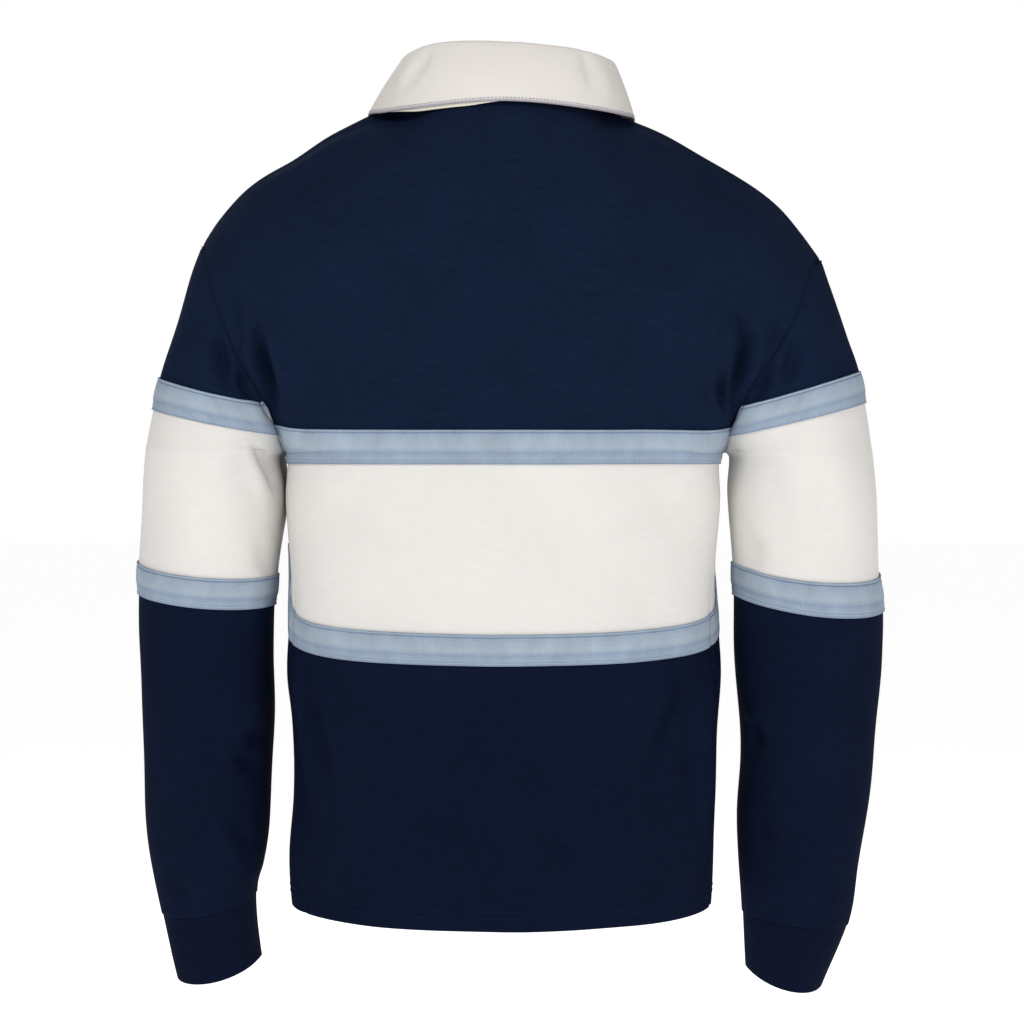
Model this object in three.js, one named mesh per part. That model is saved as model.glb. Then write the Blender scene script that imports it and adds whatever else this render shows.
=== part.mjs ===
import * as THREE from 'three';

// Rugby shirt, filled out as if it were worn, in millimetres with +Z up.
// The front faces -Y, the wearer's left arm is at +X, and the origin is the middle of the neck base.

// Cloth
const wall = 1.8;
const seamGap = 0.3;
const hemTurn = 1.2;
const tapeLift = 0.3;
const tapeThick = 1.2;
const cuffInset = 1;
const cuffWall = 2.4;
const mitreLimit = 0.4;
const snap = 0.01;

// Neck base and armholes
const neck = { half: 78, back: 62, front: 72, backZ: 4, frontZ: -62, dip: 1.4, settle: 0.25, spread: 1.3 };
const neckShare = 5 / 12;
const armholeDeep = 70;
const frontArmhole = { share: 0.95, inset: 6, evenBy: 0.25 };
const pitZ = -305;

// How full the skin is: powers of the level sections, the yoke, the shoulder blades and the sleeve's drop
const skinPower = 0.8;
const yokeRound = 4.5;
const hangPower = 1.5;
const blade = { top: 1.6, pit: 6, hold: 4 };
const dropPower = 4;

// Folds grow from nothing at the side lines, from one distance out of the middle plane over another
const foldClear = { from: 8, over: 30 };

// Columns across half the body and round a sleeve
const bodyColumns = 24;
const sleeveColumns = 18;

// Placket and buttons
const slitShare = 0.0375;
const placketShare = 0.0545;
const slitEnd = 0.47;
const placket = { half: 16, top: 0.014, end: 0.53, thick: 1.5, lift: 0.7 };
const button = { radius: 7, thick: 3.4, rim: 0.7, dish: 0.8, sides: 24, rows: [0.08, 0.25, 0.39] };

// Rows of the body: 0 at the shoulder seam to 1 at the armpit, and below it the height of the side seam
const bodyRows = [
  0, 0.07, 0.15, 0.23, 0.31, 0.39, 0.47, 0.55, 0.62, 0.69, 0.78, 0.83, 0.9, 1,
  -309.5, -316, -342, -368, -394, -420, -438, -447,
  -480, -515, -550, -585, -620, -650, -676, -694,
];
const bodyCuts = {
  upperTapeTop: 0.78, upperSeam: 1, upperTapeEnd: -316,
  lowerTapeTop: -420, lowerSeam: -438, lowerTapeEnd: -447,
  hemFold: -676, hem: -694,
};

// How far down the middle of the body each yoke row lies, as a share of the way to the armpit row
const yokeMiddle = [
  { row: 0, share: 0 },
  { row: 0.15, share: 0.11 },
  { row: 0.31, share: 0.28 },
  { row: 0.47, share: 0.48 },
  { row: 0.62, share: 0.68 },
  { row: 0.78, share: 0.94 },
  { row: 1, share: 1 },
];

// Body below the armpits: half widths and depths, and how much lower the middle of the back is than the side
// and the middle of the front higher, along a line that bows most at the sides where bow is small
const bodySections = [
  { z: -305, left: 188, right: 187.5, back: 118, front: 116, drop: 4, lift: 16, bow: 1 },
  { z: -309.5, left: 187.5, right: 187, back: 118, front: 116, drop: 3.5, lift: 16, bow: 1 },
  { z: -318, left: 187, right: 185.5, back: 118, front: 116, drop: 3, lift: 16, bow: 1 },
  { z: -345, left: 188.5, right: 186.5, back: 117, front: 116, drop: 14, lift: 18, bow: 0.8 },
  { z: -380, left: 189, right: 184, back: 115, front: 115, drop: 28, lift: 22, bow: 0.5 },
  { z: -420, left: 188.5, right: 182, back: 113, front: 114, drop: 41, lift: 24, bow: 0.4 },
  { z: -447, left: 188.5, right: 183, back: 112, front: 114, drop: 40, lift: 24, bow: 0.4 },
  { z: -496, left: 190, right: 186.5, back: 110, front: 114, drop: 31, lift: 20, bow: 0.6 },
  { z: -548, left: 185.5, right: 183.5, back: 110, front: 115, drop: 22, lift: 15, bow: 0.8 },
  { z: -600, left: 184, right: 181.5, back: 112, front: 116, drop: 17, lift: 10, bow: 1 },
  { z: -650, left: 184.5, right: 179.5, back: 114, front: 117, drop: 14, lift: 6, bow: 1 },
  { z: -694, left: 184, right: 178, back: 115, front: 118, drop: 14, lift: 4, bow: 1 },
];

// Side seams: how far round to the back each one runs, as an angle, and how much the cloth rides up at the side
const sideRows = [
  { z: -305, seamLeft: 0, seamRight: 0, riseLeft: 0, riseRight: 0 },
  { z: -318, seamLeft: 0.02, seamRight: 0.02, riseLeft: 0, riseRight: 0 },
  { z: -345, seamLeft: 0.12, seamRight: 0.12, riseLeft: 4, riseRight: 2 },
  { z: -380, seamLeft: 0.22, seamRight: 0.21, riseLeft: 14, riseRight: 6 },
  { z: -420, seamLeft: 0.3, seamRight: 0.3, riseLeft: 28, riseRight: 10 },
  { z: -447, seamLeft: 0.33, seamRight: 0.32, riseLeft: 26, riseRight: 9 },
  { z: -496, seamLeft: 0.34, seamRight: 0.31, riseLeft: 14, riseRight: 5 },
  { z: -548, seamLeft: 0.36, seamRight: 0.32, riseLeft: 5, riseRight: 2 },
  { z: -600, seamLeft: 0.38, seamRight: 0.22, riseLeft: 0, riseRight: 0 },
  { z: -650, seamLeft: 0.4, seamRight: 0.15, riseLeft: 0, riseRight: 0 },
  { z: -694, seamLeft: 0.38, seamRight: 0.16, riseLeft: 0, riseRight: 0 },
];
const riseWide = 0.3;

// Rows of a sleeve: 0 at the shoulder point, 1 at the armpit, 2 at the end of the cuff
const sleeveRows = [
  0, 0.07, 0.15, 0.23, 0.31, 0.39, 0.47, 0.55, 0.62, 0.69, 0.78, 0.83, 0.9, 1,
  1.02, 1.06, 1.13, 1.19, 1.25, 1.29, 1.31, 1.38, 1.46, 1.54, 1.62, 1.7, 1.77, 1.84, 1.9,
];
const cuffRows = [1.9, 1.95, 2];
const sleeveCuts = {
  upperTapeTop: 0.69, upperSeam: 0.78, upperTapeEnd: 0.83,
  lowerTapeTop: 1.25, lowerSeam: 1.29, lowerTapeEnd: 1.31,
  cuffSeam: 1.9,
};

// One side each: the shoulder's crest, the armhole's edge, and the sleeve's outer and inner lines
const sides = {
  left: {
    sign: 1,
    crest: [
      { x: 78, z: -2 },
      { x: 116, z: -12 },
      { x: 145, z: -26 },
      { x: 185, z: -52 },
      { x: 224, z: -78 },
      { x: 249, z: -104 },
      { x: 265, z: -127 },
    ],
    armhole: [
      { row: 0, x: 265 },
      { row: 0.19, x: 257 },
      { row: 0.38, x: 245.5 },
      { row: 0.52, x: 230 },
      { row: 0.67, x: 210 },
      { row: 0.78, x: 197 },
      { row: 0.9, x: 192.5 },
      { row: 1, x: 192 },
    ],
    sleeve: [
      { row: 0, outX: 265, outZ: -127, inX: 265, inZ: -127, deep: 70, y: 0, drop: 0 },
      { row: 0.25, outX: 276, outZ: -157, inX: 254, inZ: -152, deep: 70, y: 0, drop: 1 },
      { row: 0.5, outX: 289, outZ: -200, inX: 233, inZ: -216, deep: 70, y: 0, drop: 2 },
      { row: 0.69, outX: 301, outZ: -241, inX: 208, inZ: -266, deep: 70, y: 0, drop: 4 },
      { row: 0.83, outX: 306, outZ: -268, inX: 195, inZ: -293, deep: 70, y: 0, drop: 4 },
      { row: 1, outX: 311.5, outZ: -297, inX: 192, inZ: -305, deep: 70, y: 0, drop: 4 },
      { row: 1.02, outX: 312.5, outZ: -302, inX: 196, inZ: -309.5, deep: 70, y: 0, drop: 4 },
      { row: 1.1, outX: 316.5, outZ: -337, inX: 193.5, inZ: -345, deep: 68, y: -1, drop: 6 },
      { row: 1.25, outX: 318, outZ: -401, inX: 197, inZ: -413, deep: 65, y: -3, drop: 8 },
      { row: 1.31, outX: 317, outZ: -427, inX: 200, inZ: -439, deep: 64, y: -4, drop: 8 },
      { row: 1.4, outX: 318.5, outZ: -470, inX: 200.5, inZ: -480, deep: 62, y: -7, drop: 8 },
      { row: 1.5, outX: 318, outZ: -522, inX: 199.5, inZ: -530, deep: 59, y: -10, drop: 7 },
      { row: 1.6, outX: 315.5, outZ: -575, inX: 203, inZ: -580, deep: 55, y: -14, drop: 6 },
      { row: 1.7, outX: 313, outZ: -625, inX: 208, inZ: -627, deep: 50, y: -17, drop: 6 },
      { row: 1.8, outX: 308.5, outZ: -668, inX: 212.5, inZ: -664, deep: 46, y: -19, drop: 8 },
      { row: 1.9, outX: 301.5, outZ: -706, inX: 216, inZ: -690, deep: 42, y: -21, drop: 10 },
      { row: 2, outX: 286, outZ: -763, inX: 210, inZ: -747, deep: 38, y: -24, drop: 11 },
    ],
  },
  right: {
    sign: -1,
    crest: [
      { x: 78, z: -3 },
      { x: 111, z: -17 },
      { x: 156, z: -39 },
      { x: 201, z: -65 },
      { x: 235, z: -91 },
      { x: 259, z: -117 },
      { x: 276.6, z: -140 },
    ],
    armhole: [
      { row: 0, x: 276.6 },
      { row: 0.14, x: 265 },
      { row: 0.27, x: 257 },
      { row: 0.36, x: 249 },
      { row: 0.46, x: 236.5 },
      { row: 0.63, x: 210 },
      { row: 0.78, x: 194 },
      { row: 0.9, x: 191 },
      { row: 1, x: 191.5 },
    ],
    sleeve: [
      { row: 0, outX: 276.6, outZ: -140, inX: 276.6, inZ: -140, deep: 70, y: 0, drop: 0 },
      { row: 0.25, outX: 285, outZ: -168, inX: 259, inZ: -164, deep: 70, y: 0, drop: 1 },
      { row: 0.5, outX: 297, outZ: -205, inX: 231, inZ: -222, deep: 70, y: 0, drop: 2 },
      { row: 0.69, outX: 308.5, outZ: -236, inX: 204, inZ: -269, deep: 70, y: 0, drop: 2 },
      { row: 0.83, outX: 313, outZ: -263, inX: 192, inZ: -294, deep: 70, y: 0, drop: 3 },
      { row: 1, outX: 318, outZ: -300, inX: 191.5, inZ: -305, deep: 70, y: 0, drop: 4 },
      { row: 1.02, outX: 319, outZ: -306, inX: 196, inZ: -309.5, deep: 70, y: 0, drop: 5 },
      { row: 1.1, outX: 323.5, outZ: -343, inX: 193.5, inZ: -340, deep: 69, y: -1, drop: 8 },
      { row: 1.25, outX: 327, outZ: -411, inX: 197, inZ: -402, deep: 67, y: -3, drop: 12 },
      { row: 1.31, outX: 330, outZ: -441, inX: 198.5, inZ: -430, deep: 66, y: -4, drop: 12 },
      { row: 1.4, outX: 328, outZ: -480, inX: 200, inZ: -472, deep: 64, y: -7, drop: 10 },
      { row: 1.5, outX: 325, outZ: -527, inX: 202, inZ: -524, deep: 61, y: -10, drop: 8 },
      { row: 1.6, outX: 322, outZ: -575, inX: 203.5, inZ: -574, deep: 57, y: -14, drop: 6 },
      { row: 1.7, outX: 316.5, outZ: -622, inX: 202.5, inZ: -622, deep: 52, y: -17, drop: 5 },
      { row: 1.8, outX: 309.5, outZ: -668, inX: 203.5, inZ: -664, deep: 47, y: -19, drop: 4 },
      { row: 1.9, outX: 301.5, outZ: -718, inX: 206.5, inZ: -707, deep: 42, y: -21, drop: 4 },
      { row: 2, outX: 281, outZ: -770, inX: 208.5, inZ: -756, deep: 38, y: -24, drop: 11 },
    ],
  },
};

// Large folds of the back, front and sleeves, as straight troughs (deep < 0) and ridges (deep > 0)
const folds = [
  { on: 'body', face: 1, x0: 226, z0: -196, x1: 212, z1: -262, wide: 11, deep: -5 },
  { on: 'body', face: 1, x0: -232, z0: -168, x1: -208, z1: -250, wide: 11, deep: -5 },
  { on: 'body', face: 1, x0: -186, z0: -225, x1: -192, z1: -268, wide: 13, deep: 4 },
  { on: 'body', face: 1, x0: 170, z0: -486, x1: 146, z1: -606, wide: 13, deep: -4 },
  { on: 'body', face: 1, x0: 182, z0: -560, x1: 158, z1: -650, wide: 12, deep: 4 },
  { on: 'body', face: 1, x0: -160, z0: -480, x1: -132, z1: -600, wide: 14, deep: -4 },
  { on: 'body', face: -1, x0: 222, z0: -200, x1: 206, z1: -266, wide: 12, deep: -5 },
  { on: 'body', face: -1, x0: -224, z0: -190, x1: -204, z1: -262, wide: 12, deep: -5 },
  { on: 'body', face: -1, x0: 164, z0: -470, x1: 130, z1: -590, wide: 15, deep: -4 },
  { on: 'body', face: -1, x0: -158, z0: -450, x1: -120, z1: -560, wide: 15, deep: -4 },
  { on: 'sleeve', face: 1, x0: 250, z0: -170, x1: 236, z1: -252, wide: 12, deep: -4 },
  { on: 'sleeve', face: 1, x0: -248, z0: -174, x1: -232, z1: -246, wide: 12, deep: -4 },
  { on: 'sleeve', face: 1, x0: 222, z0: -530, x1: 240, z1: -592, wide: 13, deep: -4 },
  { on: 'sleeve', face: 1, x0: -212, z0: -540, x1: -226, z1: -604, wide: 13, deep: -4 },
  { on: 'sleeve', face: -1, x0: 214, z0: -400, x1: 262, z1: -452, wide: 14, deep: -5 },
  { on: 'sleeve', face: -1, x0: -214, z0: -410, x1: -266, z1: -458, wide: 14, deep: -5 },
];

// Collar, from the middle of the back (0) to the front end (1), measured from the neckline
const collarRows = [
  { at: 0, stand: 38.5, lean: 3, out: 20, fall: 16, slide: 0 },
  { at: 0.25, stand: 38.5, lean: 5, out: 22, fall: 15.5, slide: 0 },
  { at: 0.5, stand: 39, lean: 8, out: 36, fall: 6, slide: 0 },
  { at: 0.64, stand: 37, lean: 7.5, out: 38, fall: 5, slide: 1 },
  { at: 0.76, stand: 33, lean: 6, out: 36, fall: 10, slide: 4 },
  { at: 0.9, stand: 27, lean: 4, out: 33, fall: 26, slide: 18 },
  { at: 1, stand: 22, lean: 3, out: 32, fall: 38, slide: 38 },
];
const collar = { wall: 2, lift: 0.7, end: 0.97, leafSteps: 4, steps: 5, belly: 3, bellyRise: 0.3 };
const standBend = { out: 0.35, up: 0.5 };
const collarFold = [
  { out: -3, down: 3.5 },
  { out: -1, down: 0.4 },
  { out: 2.1, down: 0.6 },
  { out: 4.5, down: 3.5 },
];

const mix = (a, b, share) => a + (b - a) * share;
const ease = share => share * share * (3 - 2 * share);
const clamp = value => Math.min(Math.max(value, 0), 1);

// A smooth curve through one column of a table, over the column named by key
function curve(rows, key, column) {
  const at = rows.map(row => row[key]);
  const value = rows.map(row => row[column]);
  const way = Math.sign(at[1] - at[0]);
  const slope = value.map((_, i) => {
    const before = Math.max(i - 1, 0);
    const after = Math.min(i + 1, value.length - 1);
    return (value[after] - value[before]) / (at[after] - at[before]);
  });
  return where => {
    let i = 0;
    while (i < at.length - 2 && (where - at[i + 1]) * way > 0) i += 1;
    const span = at[i + 1] - at[i];
    const f = clamp((where - at[i]) / span);
    const start = value[i] + slope[i] * span * f * (1 - f) ** 2;
    const end = slope[i + 1] * span * f * f * (1 - f);
    return start + (value[i + 1] - value[i]) * ease(f) - end;
  };
}

function curves(rows, key) {
  const names = Object.keys(rows[0]).filter(name => name !== key);
  return Object.fromEntries(names.map(name => [name, curve(rows, key, name)]));
}

const yokeShare = curve(yokeMiddle, 'row', 'share');
const section = curves(bodySections, 'z');
const sideLine = curves(sideRows, 'z');
for (const side of Object.values(sides)) {
  side.crestZ = curve(side.crest, 'x', 'z');
  side.armholeX = curve(side.armhole, 'row', 'x');
  side.tip = side.crest.at(-1);
  side.line = curves(side.sleeve, 'row');
}
const sideAt = x => (x < 0 ? sides.right : sides.left);

// Height of a fold's ridge, or depth of its trough, at a point seen from the front or back
function foldAt(on, face, x, z) {
  let height = 0;
  for (const fold of folds) {
    if (fold.on !== on || fold.face !== face) continue;
    const along = { x: fold.x1 - fold.x0, z: fold.z1 - fold.z0 };
    const long = Math.hypot(along.x, along.z);
    const share = ((x - fold.x0) * along.x + (z - fold.z0) * along.z) / long ** 2;
    const near = clamp(share);
    const away = Math.hypot(x - fold.x0 - near * along.x, z - fold.z0 - near * along.z);
    height += fold.deep * Math.exp(-((away / fold.wide) ** 2));
  }
  return height;
}

// A point of the armhole's edge: row 0 at the shoulder, 1 at the armpit
function armholePoint(side, face, row) {
  const turn = Math.PI * row;
  const isFront = face < 0;
  const inset = isFront ? frontArmhole.inset * Math.sin(turn) : 0;
  const deep = isFront ? armholeDeep * frontArmhole.share : armholeDeep;
  return new THREE.Vector3(
    side.sign * (side.armholeX(row) - inset),
    face * deep * Math.sin(turn),
    mix(side.tip.z, pitZ, (1 - Math.cos(turn)) / 2),
  );
}

// A point of the body's top edge: the neckline, then the shoulder seam
function topPoint(face, across) {
  const share = Math.abs(across) / neckShare;
  const side = sideAt(across);
  if (share <= 1) {
    const turn = (share * Math.PI) / 2;
    const middle = face > 0 ? { y: neck.back, z: neck.backZ } : { y: neck.front, z: neck.frontZ };
    const round = Math.cos(turn) ** skinPower;
    const x = side.sign * neck.half * Math.sin(turn);
    const z = mix(side.crestZ(neck.half), middle.z, round ** neck.dip);
    return new THREE.Vector3(x, face * middle.y * round, z);
  }
  const x = mix(neck.half, side.tip.x, (Math.abs(across) - neckShare) / (1 - neckShare));
  return new THREE.Vector3(side.sign * x, 0, side.crestZ(x));
}

// A point of a level section below the armpits: the front runs on past the side line to the side seam
function sectionPoint(face, across, z) {
  const isRight = across < 0;
  const seam = isRight ? sideLine.seamRight(z) : sideLine.seamLeft(z);
  const rise = isRight ? sideLine.riseRight(z) : sideLine.riseLeft(z);
  const turn = across * (Math.PI / 2 - face * seam);
  const half = isRight ? section.right(z) : section.left(z);
  const isBack = face > 0 || Math.cos(turn) < 0;
  const round = Math.abs(Math.cos(turn)) ** skinPower;
  const y = isBack ? section.back(z) * round : -section.front(z) * round;
  const tilt = isBack ? -section.drop(z) : section.lift(z);
  const rideUp = rise * Math.exp(-((round / riseWide) ** 2));
  return new THREE.Vector3(half * Math.sin(turn), y, z + tilt * round ** section.bow(z) + rideUp);
}

// A point of the body: face is 1 for the back and -1 for the front, across runs from -1 to 1
function bodyPoint(face, across, row) {
  const reach = Math.abs(across);
  if (row >= 0 && reach === 1) return armholePoint(sideAt(across), face, row);
  if (row < 0) return raise('body', sectionPoint(face, across, row));
  const side = sideAt(across);
  const top = topPoint(face, across);
  const pit = sectionPoint(face, across, pitZ);
  const turn = Math.PI * row;
  const middle = yokeShare(row);
  const settle = ease(clamp(row / neck.settle));
  const deepest = face > 0 ? neck.back : -neck.front;
  top.y = mix(top.y, deepest * Math.exp(-neck.spread * (reach / neckShare) ** 2), settle);
  const down = mix(middle, (1 - Math.cos(turn)) / 2, reach ** hangPower);
  const inward = (side.tip.x - side.armholeX(row)) / (side.tip.x - side.armholeX(1));
  const bladeDeep = armholeDeep * Math.sin(turn) * reach ** mix(blade.top, blade.pit, row ** blade.hold);
  return raise('body', new THREE.Vector3(
    mix(top.x, pit.x, mix(middle, inward, reach)),
    mix(top.y, pit.y, 1 - (1 - down) ** yokeRound) + face * bladeDeep,
    mix(top.z, pit.z, down),
  ));
}

// A point of a sleeve: across runs from -1 at the front inner line over 0 outside to 1 at the back inner line
function sleevePoint(side, across, row) {
  const line = side.line;
  const turn = Math.PI * Math.min(row, 1);
  const face = across < 0 ? -1 : 1;
  if (row <= 1 && Math.abs(across) === 1) return armholePoint(side, face, row);
  const inner = row <= 1
    ? armholePoint(side, face, row)
    : new THREE.Vector3(side.sign * line.inX(row), 0, line.inZ(row));
  const inward = row > 0 ? (1 - Math.cos(turn * across)) / (1 - Math.cos(turn)) : across ** 2;
  const share = across < 0 ? mix(frontArmhole.share, 1, clamp((row - 1) / frontArmhole.evenBy)) : 1;
  const swell = Math.sin(turn * across);
  return raise('sleeve', new THREE.Vector3(
    mix(side.sign * line.outX(row), inner.x, inward),
    line.y(row) + line.deep(row) * share * swell,
    mix(line.outZ(row), inner.z, inward) - line.drop(row) * swell * (1 - across ** dropPower),
  ), side, row);
}

// Moves a point out or in by the folds that pass there, none of them at the side and underarm lines
function raise(on, point, side, row) {
  const middle = side ? side.sign * (side.line.outX(row) + side.line.inX(row)) / 2 : 0;
  const clear = ease(clamp((Math.abs(point.y) - foldClear.from) / foldClear.over));
  const height = foldAt(on, Math.sign(point.y), point.x, point.z) * clear;
  const out = new THREE.Vector3(point.x - middle, point.y, 0).normalize();
  return point.addScaledVector(out, height);
}

// The outer skin of the whole shirt: its points are shared where panels meet, so seams are mitred
class Skin {
  constructor() {
    this.points = [];
    this.places = new Map();
    this.quads = [];
  }

  // The number of a point, the same for points that are less than about one snap apart
  index(point) {
    const key = point.toArray().map(value => Math.round(value / snap)).join();
    if (!this.places.has(key)) {
      this.places.set(key, this.points.length);
      this.points.push(point);
    }
    return this.places.get(key);
  }

  // Four corners for each cell of a grid, turned so that they face outward
  addGrid(part, columns, rows, pointAt, turned) {
    for (let r = 0; r + 1 < rows.length; r += 1) {
      for (let c = 0; c + 1 < columns.length; c += 1) {
        const [a, b, d, e] = [[c, r], [c + 1, r], [c + 1, r + 1], [c, r + 1]]
          .map(([i, j]) => this.index(pointAt(columns[i], rows[j])));
        const corners = turned ? [a, e, d, b] : [a, b, d, e];
        this.quads.push({ part, corners, row: r, rows, across: (columns[c] + columns[c + 1]) / 2 });
      }
    }
  }

  findNormals() {
    this.normals = this.points.map(() => new THREE.Vector3());
    for (const quad of this.quads) {
      const [a, b, c, d] = quad.corners.map(i => this.points[i]);
      const face = c.clone().sub(a).cross(d.clone().sub(b));
      for (const i of new Set(quad.corners)) this.normals[i].add(face);
    }
    for (const normal of this.normals) normal.normalize();
  }
}

const centred = (count, extra = []) => {
  const even = Array.from({ length: count + 1 }, (_, i) => (2 * i) / count - 1);
  return [...even, ...extra].sort((a, b) => a - b);
};

const skin = new Skin();
const frontExtra = [-placketShare, -slitShare, slitShare, placketShare];
skin.addGrid('back', centred(bodyColumns), bodyRows, (c, r) => bodyPoint(1, c, r), false);
skin.addGrid('front', centred(bodyColumns, frontExtra), bodyRows, (c, r) => bodyPoint(-1, c, r), true);
for (const [name, side] of Object.entries(sides)) {
  const pointAt = (c, r) => sleevePoint(side, c, r);
  skin.addGrid(name, centred(sleeveColumns), sleeveRows, pointAt, side.sign > 0);
  skin.addGrid(`${name}Cuff`, centred(sleeveColumns), cuffRows, pointAt, side.sign > 0);
}
skin.findNormals();

// A closed mesh from points and triangles, its faces turned out
function solid(points, triangles) {
  let volume = 0;
  for (const [a, b, c] of triangles) {
    volume += points[a].dot(points[b].clone().cross(points[c]));
  }
  const facing = volume < 0 ? triangles.map(([a, b, c]) => [a, c, b]) : triangles;
  const geometry = new THREE.BufferGeometry();
  geometry.setAttribute('position', new THREE.Float32BufferAttribute(points.flatMap(p => p.toArray()), 3));
  geometry.setIndex(facing.flat());
  geometry.computeVertexNormals();
  return geometry;
}

const isWhole = ([a, b, c]) => a !== b && b !== c && c !== a;

// Cloth between two heights over the skin, its edges drawn back by half the seam's gap
function clothOver(quads, high, low) {
  const used = [...new Set(quads.flatMap(quad => quad.corners))];
  const order = new Map(used.map((skinIndex, i) => [skinIndex, i]));
  const faces = quads.flatMap(({ corners: [a, b, c, d] }) => [[a, b, c], [a, c, d]]).filter(isWhole);
  const edges = new Map();
  for (const [a, b, c] of faces) {
    for (const [from, to] of [[a, b], [b, c], [c, a]]) {
      if (!edges.delete(`${to},${from}`)) edges.set(`${from},${to}`, [from, to]);
    }
  }
  const draws = new Map();
  for (const [from, to] of edges.values()) {
    const along = skin.points[to].clone().sub(skin.points[from]);
    for (const i of [from, to]) {
      const inward = skin.normals[i].clone().cross(along).normalize();
      draws.set(i, [...(draws.get(i) ?? []), inward]);
    }
  }
  const drawn = i => {
    const [first, second] = draws.get(i) ?? [];
    if (!first) return new THREE.Vector3();
    const both = first.clone().add(second).divideScalar(Math.max(1 + first.dot(second), mitreLimit));
    return both.multiplyScalar(seamGap / 2);
  };
  const at = (i, height) => skin.points[i].clone().addScaledVector(skin.normals[i], height).add(drawn(i));
  const points = [...used.map(i => at(i, high)), ...used.map(i => at(i, low(i)))];
  const under = used.length;
  const triangles = faces.map(face => face.map(i => order.get(i)));
  const sheets = triangles.flatMap(([a, b, c]) => [[a, b, c], [under + a, under + c, under + b]]);
  const rims = [...edges.values()].flatMap(([from, to]) => {
    const [a, b] = [order.get(from), order.get(to)];
    if (from < to) return [[b, a, under + a], [b, under + a, under + b]];
    return [[b, a, under + b], [a, under + a, under + b]];
  });
  return solid(points, [...sheets, ...rims]);
}

const group = new THREE.Group();

const finishes = {
  navy: { color: 0x15213a, roughness: 0.92, metalness: 0 },
  sleeveNavy: { color: 0x10182c, roughness: 0.92, metalness: 0 },
  white: { color: 0xe7e3e0, roughness: 0.9, metalness: 0 },
  tape: { color: 0xa5b2c0, roughness: 0.85, metalness: 0 },
  twill: { color: 0xe5e0da, roughness: 0.88, metalness: 0 },
  rubber: { color: 0xdcd8d0, roughness: 0.55, metalness: 0 },
};

function addPiece(name, finish, geometry) {
  const mesh = new THREE.Mesh(geometry, new THREE.MeshStandardMaterial(finishes[finish]));
  mesh.name = name;
  group.add(mesh);
  return mesh;
}

const quadsOf = (part, from, to) => skin.quads.filter(quad => {
  const { rows, row } = quad;
  return quad.part === part && row >= rows.indexOf(from) && row < rows.indexOf(to);
});
const inSlit = quad => Math.abs(quad.across) < slitShare && quad.row < quad.rows.indexOf(slitEnd);

const plainWall = () => -wall;
const addPanel = (name, finish, quads) => addPiece(name, finish, clothOver(quads, 0, plainWall));
const addTape = (name, quads) => {
  addPiece(name, 'tape', clothOver(quads, tapeLift + tapeThick, () => tapeLift));
};

// Body panels, with the hem turned up inside the lowest ones
function addBody(face) {
  const upper = quadsOf(face, 0, bodyCuts.upperSeam);
  const lower = quadsOf(face, bodyCuts.lowerSeam, bodyCuts.hem);
  const hem = new Set(quadsOf(face, bodyCuts.hemFold, bodyCuts.hem).flatMap(quad => quad.corners));
  const hemWall = i => (hem.has(i) ? -wall - hemTurn : -wall);
  addPanel(`${face}_upper`, 'navy', face === 'front' ? upper.filter(quad => !inSlit(quad)) : upper);
  addPanel(`${face}_middle`, 'white', quadsOf(face, bodyCuts.upperSeam, bodyCuts.lowerSeam));
  addPiece(`${face}_lower`, 'navy', clothOver(lower, 0, hemWall));
  addTape(`${face}_tape_upper`, quadsOf(face, bodyCuts.upperTapeTop, bodyCuts.upperTapeEnd));
  addTape(`${face}_tape_lower`, quadsOf(face, bodyCuts.lowerTapeTop, bodyCuts.lowerTapeEnd));
}

function addSleeve(name) {
  addPanel(`sleeve_${name}_upper`, 'sleeveNavy', quadsOf(name, 0, sleeveCuts.upperSeam));
  addPanel(`sleeve_${name}_middle`, 'white', quadsOf(name, sleeveCuts.upperSeam, sleeveCuts.lowerSeam));
  addPanel(`sleeve_${name}_lower`, 'sleeveNavy', quadsOf(name, sleeveCuts.lowerSeam, sleeveCuts.cuffSeam));
  addTape(`sleeve_${name}_tape_upper`, quadsOf(name, sleeveCuts.upperTapeTop, sleeveCuts.upperTapeEnd));
  addTape(`sleeve_${name}_tape_lower`, quadsOf(name, sleeveCuts.lowerTapeTop, sleeveCuts.lowerTapeEnd));
  const cuff = quadsOf(`${name}Cuff`, cuffRows[0], cuffRows.at(-1));
  addPiece(`cuff_${name}`, 'sleeveNavy', clothOver(cuff, -cuffInset, () => -cuffInset - cuffWall));
}

addBody('back');
addBody('front');
Object.keys(sides).forEach(addSleeve);

// Solid between two sheets of points, given as rows of equal length
function between(outer, inner) {
  const rows = outer.length;
  const columns = outer[0].length;
  const points = [...outer.flat(), ...inner.flat()];
  const top = (r, c) => r * columns + c;
  const below = (r, c) => rows * columns + top(r, c);
  const triangles = [];
  const quad = (a, b, c, d) => triangles.push([a, b, c], [a, c, d]);
  for (let r = 0; r + 1 < rows; r += 1) {
    for (let c = 0; c + 1 < columns; c += 1) {
      quad(top(r, c), top(r, c + 1), top(r + 1, c + 1), top(r + 1, c));
      quad(below(r, c), below(r + 1, c), below(r + 1, c + 1), below(r, c + 1));
    }
    quad(top(r, 0), top(r + 1, 0), below(r + 1, 0), below(r, 0));
    quad(top(r + 1, columns - 1), top(r, columns - 1), below(r, columns - 1), below(r + 1, columns - 1));
  }
  for (let c = 0; c + 1 < columns; c += 1) {
    quad(top(0, c + 1), top(0, c), below(0, c), below(0, c + 1));
    quad(top(rows - 1, c), top(rows - 1, c + 1), below(rows - 1, c + 1), below(rows - 1, c));
  }
  return solid(points, triangles);
}

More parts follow.
